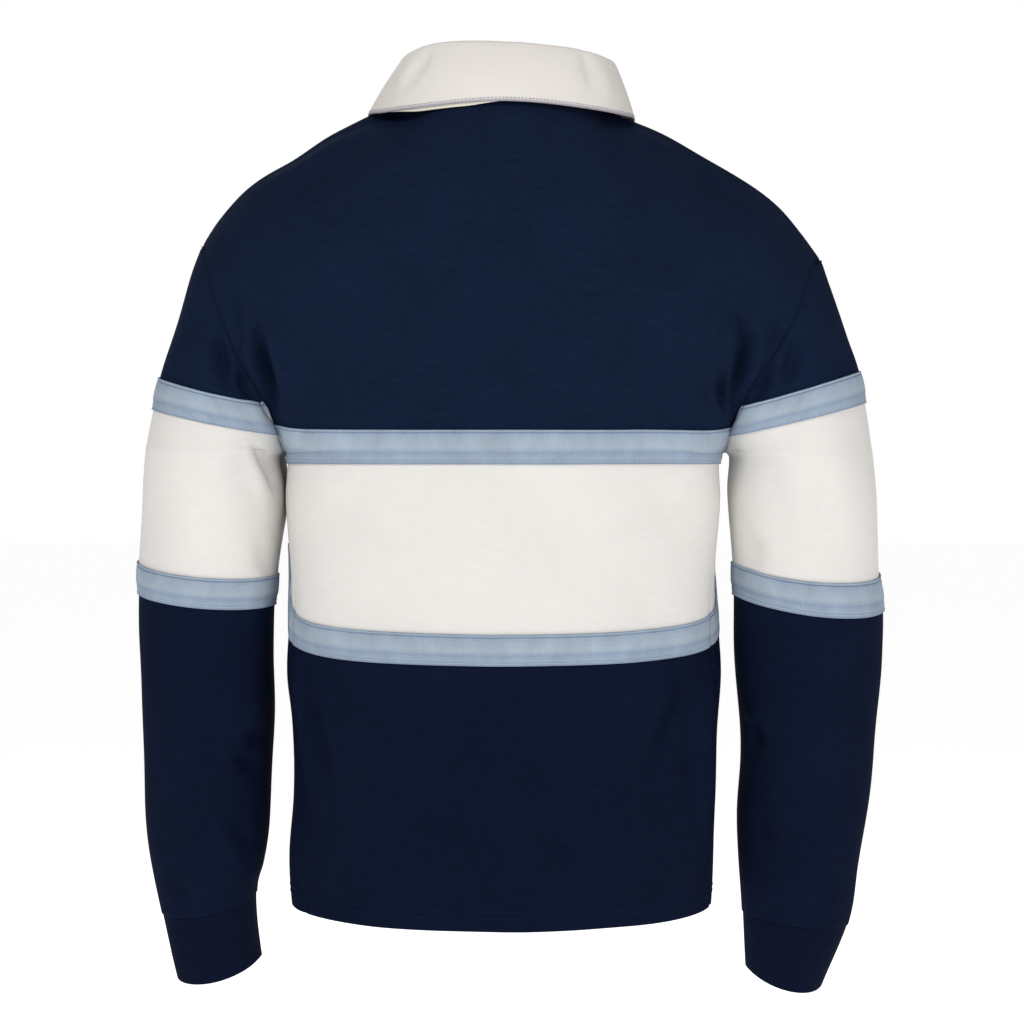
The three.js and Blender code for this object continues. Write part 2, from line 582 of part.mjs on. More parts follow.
// A point of the neckline, from the middle of the back (0) to the middle of the front (1), on the panels' edge
function neckPoint(sign, at) {
  const face = at < 0.5 ? 1 : -1;
  const across = (at < 0.5 ? at / 0.5 : (1 - at) / 0.5) * neckShare;
  const cell = 2 / bodyColumns;
  const tiny = 1e-6;
  const from = Math.floor(across / cell + tiny) * cell;
  const to = Math.min(from + cell, neckShare);
  const start = topPoint(face, sign * from);
  if (to <= from) return start;
  return start.lerp(topPoint(face, sign * to), (across - from) / (to - from));
}

// The middle line of the collar's cloth at one place round the neck: up the stand, over the fold, down the leaf
function collarLine(shape, at) {
  const stand = shape.stand(at);
  const lean = shape.lean(at);
  const line = [
    { out: 0, up: collar.lift },
    { out: lean * standBend.out, up: stand * standBend.up },
    ...collarFold.map(spot => ({ out: lean + spot.out, up: stand - spot.down })),
  ];
  const leafStart = line.at(-1);
  for (let i = 1; i <= collar.leafSteps; i += 1) {
    const share = i / collar.leafSteps;
    const belly = collar.belly * Math.sin(Math.PI * share);
    line.push({
      out: mix(leafStart.out, shape.out(at), share) + belly,
      up: mix(leafStart.up, -shape.fall(at), share) + belly * collar.bellyRise,
      slide: shape.slide(at) * share,
    });
  }
  return line;
}

function addCollar() {
  const shape = curves(collarRows, 'at');
  const places = [];
  for (let i = -2 * collar.steps; i <= 2 * collar.steps; i += 1) {
    const at = Math.abs(i) / (2 * collar.steps);
    places.push({ sign: i < 0 ? -1 : 1, at: Math.min(at, collar.end) });
  }
  const outer = [];
  const inner = [];
  for (const { sign, at } of places) {
    const foot = neckPoint(sign, at);
    const step = 0.02;
    const ahead = neckPoint(sign, Math.min(at + step, 1));
    const behind = at > step ? neckPoint(sign, at - step) : neckPoint(-sign, step - at);
    const along = ahead.sub(behind).setZ(0).normalize();
    const out = new THREE.Vector3(along.y, -along.x, 0).multiplyScalar(-sign);
    const line = collarLine(shape, at);
    const place = ({ out: away, up, slide = 0 }, side) => foot.clone()
      .addScaledVector(out, away + side.out)
      .addScaledVector(along, -slide)
      .setZ(foot.z + up + side.up);
    const sidesOf = line.map((spot, i) => {
      const before = line[Math.max(i - 1, 0)];
      const after = line[Math.min(i + 1, line.length - 1)];
      const long = Math.hypot(after.out - before.out, after.up - before.up);
      const half = collar.wall / 2 / long;
      return { out: -(after.up - before.up) * half, up: (after.out - before.out) * half };
    });
    outer.push(line.map((spot, i) => place(spot, sidesOf[i])));
    inner.push(line.map((spot, i) => place(spot, { out: -sidesOf[i].out, up: -sidesOf[i].up })));
  }
  addPiece('collar', 'twill', between(outer, inner));
}

addCollar();

// The middle line of the front, with the way out of it
function frontMiddle(row) {
  const point = bodyPoint(-1, 0, row);
  const step = 0.01;
  const along = bodyPoint(-1, 0, row + step).sub(point).normalize();
  return { point, along, out: new THREE.Vector3(0, along.z, -along.y) };
}

function addPlacket() {
  const slit = skin.quads.filter(quad => quad.part === 'front' && inSlit(quad));
  addPiece('placket_under', 'twill', clothOver(slit, 0, () => -placket.thick));
  const rowsAlong = bodyRows.filter(row => row > placket.top && row < placket.end);
  const rows = [placket.top, ...rowsAlong, placket.end];
  const strip = height => rows.map(row => {
    const { point, out } = frontMiddle(row);
    return [-1, 0, 1].map(sign => point.clone().addScaledVector(out, height).setX(sign * placket.half));
  });
  addPiece('placket_over', 'twill', between(strip(placket.lift + placket.thick), strip(placket.lift)));
}

function addButtons() {
  const { radius, thick, rim, dish, sides: count } = button;
  const profile = [
    [0, 0], [radius - rim, 0], [radius, rim], [radius, thick - rim],
    [radius - rim, thick], [radius - 2 * rim, thick], [radius - 3 * rim, thick - dish], [0, thick - dish],
  ].map(([x, y]) => new THREE.Vector2(x, y));
  button.rows.forEach((row, i) => {
    const { point, out } = frontMiddle(row);
    const piece = addPiece(`button_${i + 1}`, 'rubber', new THREE.LatheGeometry(profile, count));
    piece.position.copy(point).addScaledVector(out, placket.lift + placket.thick + 2 * seamGap);
    piece.quaternion.setFromUnitVectors(new THREE.Vector3(0, 1, 0), out);
  });
}

addPlacket();
addButtons();

export default group;
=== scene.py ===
# A long-sleeved rugby shirt seen from behind, filled out as if it were worn.
# Tables are in millimetres with +Z up, the front towards -Y and the wearer's left arm towards +X.
import math
import bpy
import numpy as np
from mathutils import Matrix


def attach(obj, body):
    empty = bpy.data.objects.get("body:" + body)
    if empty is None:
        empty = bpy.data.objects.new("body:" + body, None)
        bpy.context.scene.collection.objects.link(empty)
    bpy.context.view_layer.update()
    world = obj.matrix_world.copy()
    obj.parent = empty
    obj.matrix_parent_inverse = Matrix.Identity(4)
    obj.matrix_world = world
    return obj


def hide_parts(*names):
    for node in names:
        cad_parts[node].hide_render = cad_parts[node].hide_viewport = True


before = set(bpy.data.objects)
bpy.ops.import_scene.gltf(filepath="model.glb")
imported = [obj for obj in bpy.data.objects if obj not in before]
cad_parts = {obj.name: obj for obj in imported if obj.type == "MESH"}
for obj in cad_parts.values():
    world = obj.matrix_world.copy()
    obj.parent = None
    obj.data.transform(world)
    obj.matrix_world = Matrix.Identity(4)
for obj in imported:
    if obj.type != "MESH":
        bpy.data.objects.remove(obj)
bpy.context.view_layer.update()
print("frame loaded")

mm = 0.001

# Camera at the photograph's angle: level, behind the shirt
view = {"x": -6.1, "y": 2600, "z": -358.4, "frameWidth": 890.9, "sensor": 36}


def addCamera():
    data = bpy.data.cameras.new("camera")
    data.sensor_width = view["sensor"]
    data.lens = view["sensor"] * view["y"] / view["frameWidth"]
    camera = bpy.data.objects.new("camera", data)
    camera.location = (view["x"] * mm, view["y"] * mm, view["z"] * mm)
    camera.rotation_euler = (math.pi / 2, 0, math.pi)
    bpy.context.scene.collection.objects.link(camera)
    bpy.context.scene.camera = camera


addCamera()
print("camera placed")


# Rows of a table as dictionaries, under the names of its columns
def table(columns, *rows):
    return [dict(zip(columns.split(), row)) for row in rows]


# Shape of the skin, as the solids have it
neck = {"half": 78, "back": 62, "front": 72, "backZ": 4, "frontZ": -62, "dip": 1.4, "settle": 0.25,
        "spread": 1.3}
neckShare = 5 / 12
armholeDeep = 70
frontArmhole = {"share": 0.95, "inset": 6, "evenBy": 0.25}
pitZ = -305
armpitRow = 1
skinPower = 0.8
tiny = 1e-9
yokeRound = 4.5
hang = {"high": 1.5, "low": 4.5, "from": 0.45, "over": 0.25}
blade = {"top": 1.6, "pit": 6, "hold": 4}
dropPower = 4

# How far down the middle of the body each yoke row lies, as a share of the way to the armpit row
yokeMiddle = table(
    "row share",
    (0, 0),
    (0.15, 0.11),
    (0.31, 0.28),
    (0.47, 0.48),
    (0.62, 0.68),
    (0.78, 0.94),
    (1, 1),
)

# Level sections of the body: half widths, depths, and how the middle hangs against the side
bodySections = table(
    "z left right back front drop lift bow",
    (-305, 188, 187.5, 118, 116, 4, 16, 1),
    (-309.5, 187.5, 187, 118, 116, 3.5, 16, 1),
    (-318, 187, 185.5, 118, 116, 3, 16, 1),
    (-345, 188.5, 186.5, 117, 116, 14, 18, 0.8),
    (-380, 189, 184, 115, 115, 28, 22, 0.5),
    (-420, 188.5, 182, 113, 114, 41, 24, 0.4),
    (-447, 188.5, 183, 112, 114, 40, 24, 0.4),
    (-496, 190, 186.5, 110, 114, 31, 20, 0.6),
    (-548, 185.5, 183.5, 110, 115, 22, 15, 0.8),
    (-600, 184, 181.5, 112, 116, 17, 10, 1),
    (-650, 184.5, 179.5, 114, 117, 14, 6, 1),
    (-694, 184, 178, 115, 118, 14, 4, 1),
)

# Side seams: how far round to the back each one runs, as an angle, and how much the cloth rides up there
sideRows = table(
    "z seamLeft seamRight riseLeft riseRight",
    (-305, 0, 0, 0, 0),
    (-318, 0.02, 0.02, 0, 0),
    (-345, 0.12, 0.12, 4, 2),
    (-380, 0.22, 0.21, 14, 6),
    (-420, 0.3, 0.3, 28, 10),
    (-447, 0.33, 0.32, 26, 9),
    (-496, 0.34, 0.31, 14, 5),
    (-548, 0.36, 0.32, 5, 2),
    (-600, 0.38, 0.22, 0, 0),
    (-650, 0.4, 0.15, 0, 0),
    (-694, 0.38, 0.16, 0, 0),
)
riseWide = 0.3

# The shoulder's crest and the armhole's edge on each side
leftCrest = table(
    "x z",
    (78, -2),
    (116, -12),
    (145, -26),
    (185, -52),
    (224, -78),
    (249, -104),
    (265, -127),
)
rightCrest = table(
    "x z",
    (78, -3),
    (111, -17),
    (156, -39),
    (201, -65),
    (235, -91),
    (259, -117),
    (276.6, -140),
)
leftArmhole = table(
    "row x",
    (0, 265),
    (0.19, 257),
    (0.38, 245.5),
    (0.52, 230),
    (0.67, 210),
    (0.78, 197),
    (0.9, 192.5),
    (1, 192),
)
rightArmhole = table(
    "row x",
    (0, 276.6),
    (0.14, 265),
    (0.27, 257),
    (0.36, 249),
    (0.46, 236.5),
    (0.63, 210),
    (0.78, 194),
    (0.9, 191),
    (1, 191.5),
)

# Outer and inner line of each sleeve: 0 at the shoulder point, 1 at the armpit, 2 at the end of the cuff
leftSleeve = table(
    "row outX outZ inX inZ deep y drop",
    (0, 265, -127, 265, -127, 70, 0, 0),
    (0.25, 276, -157, 254, -152, 70, 0, 1),
    (0.5, 289, -200, 233, -216, 70, 0, 2),
    (0.69, 301, -241, 208, -266, 70, 0, 4),
    (0.83, 306, -268, 195, -293, 70, 0, 4),
    (1, 311.5, -297, 192, -305, 70, 0, 4),
    (1.02, 312.5, -302, 196, -309.5, 70, 0, 4),
    (1.1, 316.5, -337, 193.5, -345, 68, -1, 6),
    (1.25, 318, -401, 197, -413, 65, -3, 8),
    (1.31, 317, -427, 200, -439, 64, -4, 8),
    (1.4, 318.5, -470, 200.5, -480, 62, -7, 8),
    (1.5, 318, -522, 199.5, -530, 59, -10, 7),
    (1.6, 315.5, -575, 203, -580, 55, -14, 6),
    (1.7, 313, -625, 208, -627, 50, -17, 6),
    (1.8, 308.5, -668, 212.5, -664, 46, -19, 8),
    (1.9, 301.5, -706, 216, -690, 42, -21, 10),
    (2, 286, -763, 210, -747, 38, -24, 11),
)
rightSleeve = table(
    "row outX outZ inX inZ deep y drop",
    (0, 276.6, -140, 276.6, -140, 70, 0, 0),
    (0.25, 285, -168, 259, -164, 70, 0, 1),
    (0.5, 297, -205, 231, -222, 70, 0, 2),
    (0.69, 308.5, -236, 204, -269, 70, 0, 2),
    (0.83, 313, -263, 192, -294, 70, 0, 3),
    (1, 318, -300, 191.5, -305, 70, 0, 4),
    (1.02, 319, -306, 196, -309.5, 70, 0, 5),
    (1.1, 323.5, -343, 193.5, -340, 69, -1, 8),
    (1.25, 327, -411, 197, -402, 67, -3, 12),
    (1.31, 330, -441, 198.5, -430, 66, -4, 12),
    (1.4, 328, -480, 200, -472, 64, -7, 10),
    (1.5, 325, -527, 202, -524, 61, -10, 8),
    (1.6, 322, -575, 203.5, -574, 57, -14, 6),
    (1.7, 316.5, -622, 202.5, -622, 52, -17, 5),
    (1.8, 309.5, -668, 203.5, -664, 47, -19, 4),
    (1.9, 301.5, -718, 206.5, -707, 42, -21, 4),
    (2, 281, -770, 208.5, -756, 38, -24, 11),
)


def mix(a, b, share):
    return a + (b - a) * share


def clamp(value):
    return np.clip(value, 0, 1)


def ease(share):
    return share * share * (3 - 2 * share)


# A smooth curve through one column of a table, over the column named by key
def curve(table, key, column):
    rows = sorted(table, key=lambda row: row[key])
    at = np.array([row[key] for row in rows], float)
    value = np.array([row[column] for row in rows], float)
    before = np.maximum(np.arange(len(at)) - 1, 0)
    after = np.minimum(np.arange(len(at)) + 1, len(at) - 1)
    slope = (value[after] - value[before]) / (at[after] - at[before])

    def read(where):
        i = np.clip(np.searchsorted(at, where, side="right") - 1, 0, len(at) - 2)
        span = at[i + 1] - at[i]
        f = clamp((where - at[i]) / span)
        start = value[i] + slope[i] * span * f * (1 - f) ** 2
        return start + (value[i + 1] - value[i]) * ease(f) - slope[i + 1] * span * f * f * (1 - f)

    return read


def curves(table, key):
    return {name: curve(table, key, name) for name in table[0] if name != key}


def makeSide(sign, crest, armhole, sleeve):
    tip = crest[-1]
    line = curves(sleeve, "row")
    return {"sign": sign, "tip": tip, "line": line, "crestZ": curve(crest, "x", "z"),
            "armholeX": curve(armhole, "row", "x")}


sides = {
    "left": makeSide(1, leftCrest, leftArmhole, leftSleeve),
    "right": makeSide(-1, rightCrest, rightArmhole, rightSleeve),
}
section = curves(bodySections, "z")
sideLine = curves(sideRows, "z")
yokeShare = curve(yokeMiddle, "row", "share")


# A point of the armhole's edge: row 0 at the shoulder, 1 at the armpit
def armholePoint(side, face, row):
    turn = math.pi * row
    inset = frontArmhole["inset"] * math.sin(turn) if face < 0 else 0
    deep = armholeDeep * (frontArmhole["share"] if face < 0 else 1)
    x = side["sign"] * (side["armholeX"](row) - inset)
    return np.array([x, face * deep * math.sin(turn), mix(side["tip"]["z"], pitZ, (1 - math.cos(turn)) / 2)])


# The neckline, then the shoulder seam, for the columns on one side
def topLine(side, face, across):
    share = np.abs(across) / neckShare
    middleY = neck["back"] if face > 0 else neck["front"]
    middleZ = neck["backZ"] if face > 0 else neck["frontZ"]
    turn = clamp(share) * math.pi / 2
    rounding = np.maximum(np.cos(turn), 0) ** skinPower
    beyond = clamp((np.abs(across) - neckShare) / (1 - neckShare))
    seamX = mix(neck["half"], side["tip"]["x"], beyond)
    isNeck = share <= 1
    x = np.where(isNeck, neck["half"] * np.sin(turn), seamX)
    y = np.where(isNeck, face * middleY * rounding, 0)
    neckZ = mix(side["crestZ"](neck["half"]), middleZ, rounding ** neck["dip"])
    z = np.where(isNeck, neckZ, side["crestZ"](seamX))
    return np.stack([side["sign"] * x, y, z], axis=-1)


# A level section below the armpits: the front runs on past the side line to the side seam
def sectionLine(face, across, z):
    isRight = across < 0
    seam = np.where(isRight, sideLine["seamRight"](z), sideLine["seamLeft"](z))
    rise = np.where(isRight, sideLine["riseRight"](z), sideLine["riseLeft"](z))
    half = np.where(isRight, section["right"](z), section["left"](z))
    turn = across * (math.pi / 2 - face * seam)
    isBack = (face > 0) | (np.cos(turn) < 0)
    rounding = np.abs(np.cos(turn)) ** skinPower
    y = np.where(isBack, section["back"](z), -section["front"](z)) * rounding
    tilt = np.where(isBack, -section["drop"](z), section["lift"](z))
    rideUp = rise * np.exp(-((rounding / riseWide) ** 2))
    return np.stack([half * np.sin(turn), y, z + tilt * rounding ** section["bow"](z) + rideUp], axis=-1)


def yokeLine(side, face, across, row):
    reach = np.abs(across)
    top = topLine(side, face, across)
    pit = sectionLine(face, across, pitZ)
    turn = math.pi * row
    middle = yokeShare(row)
    settle = ease(clamp(row / neck["settle"]))
    deepest = neck["back"] if face > 0 else -neck["front"]
    top[:, 1] = mix(top[:, 1], deepest * np.exp(-neck["spread"] * (reach / neckShare) ** 2), settle)
    power = mix(hang["high"], hang["low"], ease(clamp((row - hang["from"]) / hang["over"])))
    down = mix(middle, (1 - math.cos(turn)) / 2, reach ** power)
    tipX = side["tip"]["x"]
    inward = (tipX - side["armholeX"](row)) / (tipX - side["armholeX"](1))
    bladeDeep = armholeDeep * math.sin(turn) * reach ** mix(blade["top"], blade["pit"], row ** blade["hold"])
    x = mix(top[:, 0], pit[:, 0], mix(middle, inward, reach))
    y = mix(top[:, 1], pit[:, 1], 1 - (1 - down) ** yokeRound) + face * bladeDeep
    z = mix(top[:, 2], pit[:, 2], down)
    return np.stack([x, y, z], axis=-1)


# One row of the body; its first and last columns lie on the side lines
def bodyLine(face, across, row):
    if row < 0:
        return sectionLine(face, across, row)
    right = yokeLine(sides["right"], face, across, row)
    left = yokeLine(sides["left"], face, across, row)
    points = np.where((across < 0)[:, None], right, left)
    points[0] = armholePoint(sides["right"], face, row)
    points[-1] = armholePoint(sides["left"], face, row)
    return points


# One row of a sleeve: from -1 at the front inner line over 0 outside to 1 at the back inner line
def sleeveLine(side, across, row):
    line = side["line"]
    sign = side["sign"]
    turn = math.pi * min(row, 1)
    if row <= 1:
        front = armholePoint(side, -1, row)
        back = armholePoint(side, 1, row)
    else:
        front = back = np.array([sign * line["inX"](row), 0, line["inZ"](row)])
    inner = np.where((across < 0)[:, None], front, back)
    inward = (1 - np.cos(turn * across)) / (1 - math.cos(turn)) if row > 0 else across ** 2
    even = mix(frontArmhole["share"], 1, clamp((row - 1) / frontArmhole["evenBy"]))
    share = np.where(across < 0, even, 1)
    swell = np.sin(turn * across)
    x = mix(sign * line["outX"](row), inner[:, 0], inward)
    y = line["y"](row) + line["deep"](row) * share * swell
    z = mix(line["outZ"](row), inner[:, 2], inward) - line["drop"](row) * swell * (1 - across ** dropPower)
    points = np.stack([x, y, z], axis=-1)
    if row <= 1:
        points[0] = front
        points[-1] = back
    return points


# Rows and columns of the fine skin: each entry runs to a mark in a number of steps
cloth = {"wall": 1.8, "hemTurn": 1.2, "bodyStep": 0.0125, "sleeveStep": 0.0175, "drawBack": 0.1,
         "rimBulge": 0.45, "rimLift": 0.001, "bodyEdges": (0.003, 0.007), "sleeveEdges": (0.005, 0.011)}
yokeSteps = [(0.006, 2), (0.69, 74), (0.78, 14), (0.83, 7), (1, 16)]
belowSteps = [(-309.5, 3), (-316, 5), (-420, 34), (-438, 15), (-447, 8), (-676, 74), (-694, 10)]
sleeveSteps = [(1.02, 2), (1.25, 32), (1.29, 16), (1.31, 8), (1.9, 90)]
cuffSteps = [(1.904, 2), (1.996, 22), (2, 2)]
slit = {"share": 0.0375, "end": 0.47}
bodyMarks = {"tapeTop": 0.78, "upperSeam": 1, "tapeEnd": -316, "lowTapeTop": -420, "lowerSeam": -438,
             "lowTapeEnd": -447, "hemFold": -676, "hem": -694}
sleeveMarks = {"tapeTop": 0.69, "upperSeam": 0.78, "tapeEnd": 0.83, "lowTapeTop": 1.25, "lowerSeam": 1.29,
               "lowTapeEnd": 1.31, "cuff": 1.9, "end": 2}


def rowsTo(start, steps):
    rows = [start]
    for mark, count in steps:
        rows += list(np.linspace(rows[-1], mark, count + 1)[1:])
    return [round(float(row), 6) for row in rows]


def columnsOf(step, edges, extra=()):
    count = round(1 / step)
    even = np.linspace(-1, 1, 2 * count + 1)
    more = [sign * (1 - edge) for edge in edges for sign in (-1, 1)]
    return np.array(sorted({round(float(x), 6) for x in [*even, *more, *extra]}))


yokeRows = rowsTo(0, yokeSteps)
bodyRows = yokeRows + rowsTo(pitZ, belowSteps)[1:]
sleeveRows = rowsTo(0, yokeSteps + sleeveSteps)
cuffRows = rowsTo(sleeveMarks["cuff"], cuffSteps)
bodyColumns = columnsOf(cloth["bodyStep"], cloth["bodyEdges"], (-slit["share"], slit["share"]))
sleeveColumns = columnsOf(cloth["sleeveStep"], cloth["sleeveEdges"])


def fold(on, face, wide, deep, peak, *line):
    return {"on": on, "face": face, "wide": wide, "deep": deep, "peak": peak, "line": line}


# Folds seen from behind (face 1), in front (face -1) or all round (face 0): troughs are deep < 0, ridges
# deep > 0, and each is strongest at the share of its length that peak names
creases = [
    # Back, beside the armholes
    fold("both", 1, 6.5, -13, 0.62, (221, -182), (213, -198), (206, -212), (202, -236), (201, -262),
         (201, -288)),
    fold("body", 1, 8, 4.2, 0.5, (208, -186), (197, -206), (191, -234), (190, -264)),
    fold("body", 1, 5, 2.6, 0.5, (224, -204), (216, -226), (210, -248)),
    fold("both", 1, 6, -4.5, 0.5, (231, -158), (228, -192), (220, -224)),
    fold("both", 1, 6.5, -13, 0.6, (-192, -176), (-201, -194), (-204, -212), (-201, -236), (-198, -262),
         (-195, -286)),
    fold("body", 1, 8, 2.6, 0.5, (-182, -184), (-189, -206), (-189, -228)),
    fold("body", 1, 5.5, -7, 0.6, (-180, -228), (-185, -250), (-188, -278)),
    fold("both", 1, 5, 2.4, 0.5, (-218, -196), (-216, -222), (-209, -246)),
    fold("both", 1, 6, -4, 0.5, (-240, -176), (-234, -204), (-222, -230)),
    fold("body", 1, 10, 1.8, 0.6, (-150, -240), (-158, -260), (-167, -282)),
    # Shoulders
    fold("both", 1, 9, 1.8, 0.6, (80, -12), (116, -26), (155, -48), (172, -59), (205, -75), (230, -93)),
    fold("both", 1, 12, -1.5, 0.4, (90, -34), (130, -52), (168, -78), (196, -104)),
    fold("both", 1, 9, 2, 0.5, (-90, -20), (-118, -33), (-140, -42), (-166, -52)),
    fold("both", 1, 10, -2, 0.4, (-150, -62), (-178, -74), (-206, -98)),
    fold("both", 1, 8, 2, 0.5, (-166, -46), (-182, -54), (-200, -66)),
    # Back, low on the left
    fold("body", 1, 6.5, 2.8, 0.35, (174, -466), (155, -516), (148, -543), (143, -577), (131, -608)),
    fold("body", 1, 8, -3.2, 0.45, (180, -480), (165, -520), (158, -550), (153, -585), (143, -618)),
    fold("body", 1, 6, 3, 0.45, (184, -430), (178, -474), (173, -527), (168, -575), (162, -620),
         (147, -660)),
    fold("body", 1, 6, -3, 0.5, (186, -470), (182, -530), (178, -580), (173, -630)),
    # Back, low on the right
    fold("body", 1, 7, -3, 0.45, (-164, -476), (-152, -499), (-136, -538), (-127, -560), (-121, -591),
         (-125, -612)),
    fold("body", 1, 9, 1.8, 0.4, (-152, -478), (-138, -505), (-122, -540), (-113, -572)),
    fold("body", 1, 5.5, 2.6, 0.5, (-182, -457), (-178, -493), (-171, -536), (-170, -560), (-173, -599),
         (-174, -641), (-172, -676)),
    fold("body", 1, 7, -2.4, 0.45, (-162, -500), (-158, -540), (-160, -590), (-163, -640)),
    # Back, long and faint over the middle
    fold("body", 1, 22, -1.4, 0.5, (40, -470), (58, -540), (50, -612)),
    fold("body", 1, 20, -1.4, 0.5, (-40, -520), (-52, -590), (-44, -660)),
    fold("body", 1, 18, 1.5, 0.5, (96, -500), (92, -560), (100, -630)),
    fold("body", 1, 14, -1.4, 0.3, (150, -330), (120, -368), (70, -392)),
    fold("body", 1, 14, -1.6, 0.3, (-150, -330), (-116, -362), (-72, -380)),
    # Back of the sleeves
    fold("sleeve", 1, 6, -6, 0.6, (245, -186), (242, -222), (232, -262)),
    fold("sleeve", 1, 6, -6, 0.5, (229, -228), (220, -250), (206, -272)),
    fold("sleeve", 1, 9, 2.2, 0.5, (256, -190), (258, -226), (250, -262)),
    fold("sleeve", 1, 7, 3.2, 0.4, (206, -520), (216, -530), (236, -562)),
    fold("sleeve", 1, 7, -4.4, 0.5, (236, -562), (216, -577), (206, -596)),
    fold("sleeve", 1, 7, -3.2, 0.3, (206, -546), (218, -556), (226, -562)),
    fold("sleeve", 1, 7, -3, 0.5, (240, -612), (221, -641), (208, -668)),
    fold("sleeve", 1, 8, 2, 0.5, (250, -618), (236, -650), (220, -682)),
    fold("sleeve", 1, 6, -2.6, 0.6, (292, -650), (286, -672), (274, -700)),
    fold("sleeve", 1, 7, 1.8, 0.6, (280, -650), (272, -676), (262, -700)),
    fold("sleeve", 1, 16, -1.8, 0.5, (292, -420), (286, -480), (292, -540)),
    fold("sleeve", 1, 6, -5, 0.6, (-248, -196), (-245, -224), (-234, -258)),
    fold("sleeve", 1, 6, -5, 0.5, (-228, -228), (-219, -248), (-205, -270)),
    fold("sleeve", 1, 9, 2.2, 0.5, (-260, -190), (-262, -226), (-254, -262)),
    fold("sleeve", 1, 6.5, -4, 0.4, (-200, -534), (-215, -542), (-217, -552), (-207, -573), (-201, -594)),
    fold("sleeve", 1, 7, 2.6, 0.3, (-206, -528), (-224, -540), (-232, -556)),
    fold("sleeve", 1, 8, -2.6, 0.4, (-204, -606), (-222, -632), (-228, -668)),
    fold("sleeve", 1, 7, -2.4, 0.5, (-288, -660), (-276, -686), (-262, -704)),
    fold("sleeve", 1, 16, -1.8, 0.5, (-300, -440), (-294, -500), (-300, -560)),
    # Under the left arm, where sleeve and body nearly meet
    fold("body", 0, 16, 0.6, 0.42, (188, -276), (188, -345), (188, -440)),
    fold("sleeve", 0, 16, 0.9, 0.42, (194, -276), (195, -345), (199, -440)),
    fold("body", -1, 14, 1.9, 0.35, (186, -276), (186, -345), (186, -440)),
    fold("sleeve", -1, 15, 6.2, 0.28, (198, -262), (200, -345), (204, -440)),
    fold("sleeve", 1, 5.5, -4.2, 0.4, (216, -296), (202, -320), (196, -352)),
    fold("sleeve", 1, 7, 2.2, 0.4, (224, -300), (211, -326), (205, -362)),
    fold("sleeve", 1, 7, -1.8, 0.5, (214, -372), (207, -396), (203, -424)),
    # White of the right sleeve, slanting in from the armhole
    fold("sleeve", 1, 10, -1.6, 0.3, (-214, -318), (-236, -350), (-246, -400)),
    fold("sleeve", 1, 9, -1.4, 0.4, (-250, -300), (-262, -345), (-264, -395)),
    fold("sleeve", 1, 9, -2, 0.5, (-206, -362), (-214, -392), (-210, -424)),
    # Front
    fold("body", -1, 13, -3.6, 0.5, (216, -168), (208, -206), (198, -246), (192, -290)),
    fold("body", -1, 10, 3, 0.5, (182, -206), (180, -238), (184, -270)),
    fold("body", -1, 13, -3.6, 0.5, (-220, -170), (-208, -204), (-198, -244), (-190, -288)),
    fold("body", -1, 10, 2.6, 0.5, (-178, -210), (-178, -236), (-184, -266)),
    fold("body", -1, 14, -2.2, 0.3, (150, -300), (110, -350), (60, -380)),
    fold("body", -1, 14, -2.2, 0.3, (-150, -306), (-104, -348), (-64, -372)),
    fold("body", -1, 9, -3.4, 0.45, (168, -460), (148, -520), (130, -584)),
    fold("body", -1, 9, 2.4, 0.4, (152, -464), (132, -530), (120, -590)),
    fold("body", -1, 9, -3.4, 0.45, (-162, -446), (-140, -500), (-122, -566)),
    fold("body", -1, 8, 2.6, 0.5, (-176, -480), (-166, -540), (-160, -610)),
    fold("body", -1, 20, -1.8, 0.5, (60, -480), (72, -560), (60, -640)),
    fold("body", -1, 20, -1.8, 0.5, (-50, -500), (-66, -570), (-58, -650)),
    fold("both", -1, 11, 1.8, 0.5, (100, -34), (140, -56), (180, -84)),
    fold("both", -1, 11, 1.8, 0.5, (-100, -38), (-142, -60), (-186, -92)),
    # Front of the sleeves
    fold("sleeve", -1, 9, -4.4, 0.3, (210, -392), (236, -420), (268, -440)),
    fold("sleeve", -1, 8, 3, 0.35, (206, -424), (232, -450), (270, -464)),
    fold("sleeve", -1, 8, -3.4, 0.35, (206, -452), (234, -478), (262, -486)),
    fold("sleeve", -1, 9, -4, 0.5, (240, -200), (236, -232), (222, -262)),
    fold("sleeve", -1, 9, -4.4, 0.3, (-212, -396), (-238, -426), (-272, -444)),
    fold("sleeve", -1, 8, 3, 0.35, (-208, -430), (-236, -456), (-274, -470)),
    fold("sleeve", -1, 8, -3.4, 0.35, (-208, -458), (-240, -484), (-268, -492)),
    fold("sleeve", -1, 9, -4, 0.5, (-244, -200), (-238, -232), (-224, -258)),
    fold("sleeve", -1, 8, -2.6, 0.5, (230, -640), (250, -662), (262, -690)),
    fold("sleeve", -1, 8, -2.6, 0.5, (-232, -644), (-252, -668), (-260, -700)),
]

# Soft unevenness of the whole cloth, how strong the folds are, and how narrow they end
softWaves = {"seed": 7, "count": 14, "shortest": 45, "longest": 150, "rise": 0.005, "upright": 0.4}
foldStrength = {"body": 2.1, "sleeve": 1.7, "both": 1.6}
foldEnd = 0.55
seamDip = {"deep": 1.1, "wide": 3}
foldClear = {"from": 6, "over": 22}


def rounded(line, times=2):
    points = np.array(line, float)
    for _ in range(times):
        early = 0.75 * points[:-1] + 0.25 * points[1:]
        late = 0.25 * points[:-1] + 0.75 * points[1:]
        inner = np.stack([early, late], axis=1).reshape(-1, 2)
        points = np.vstack([points[:1], inner[1:-1], points[-1:]])
    return points


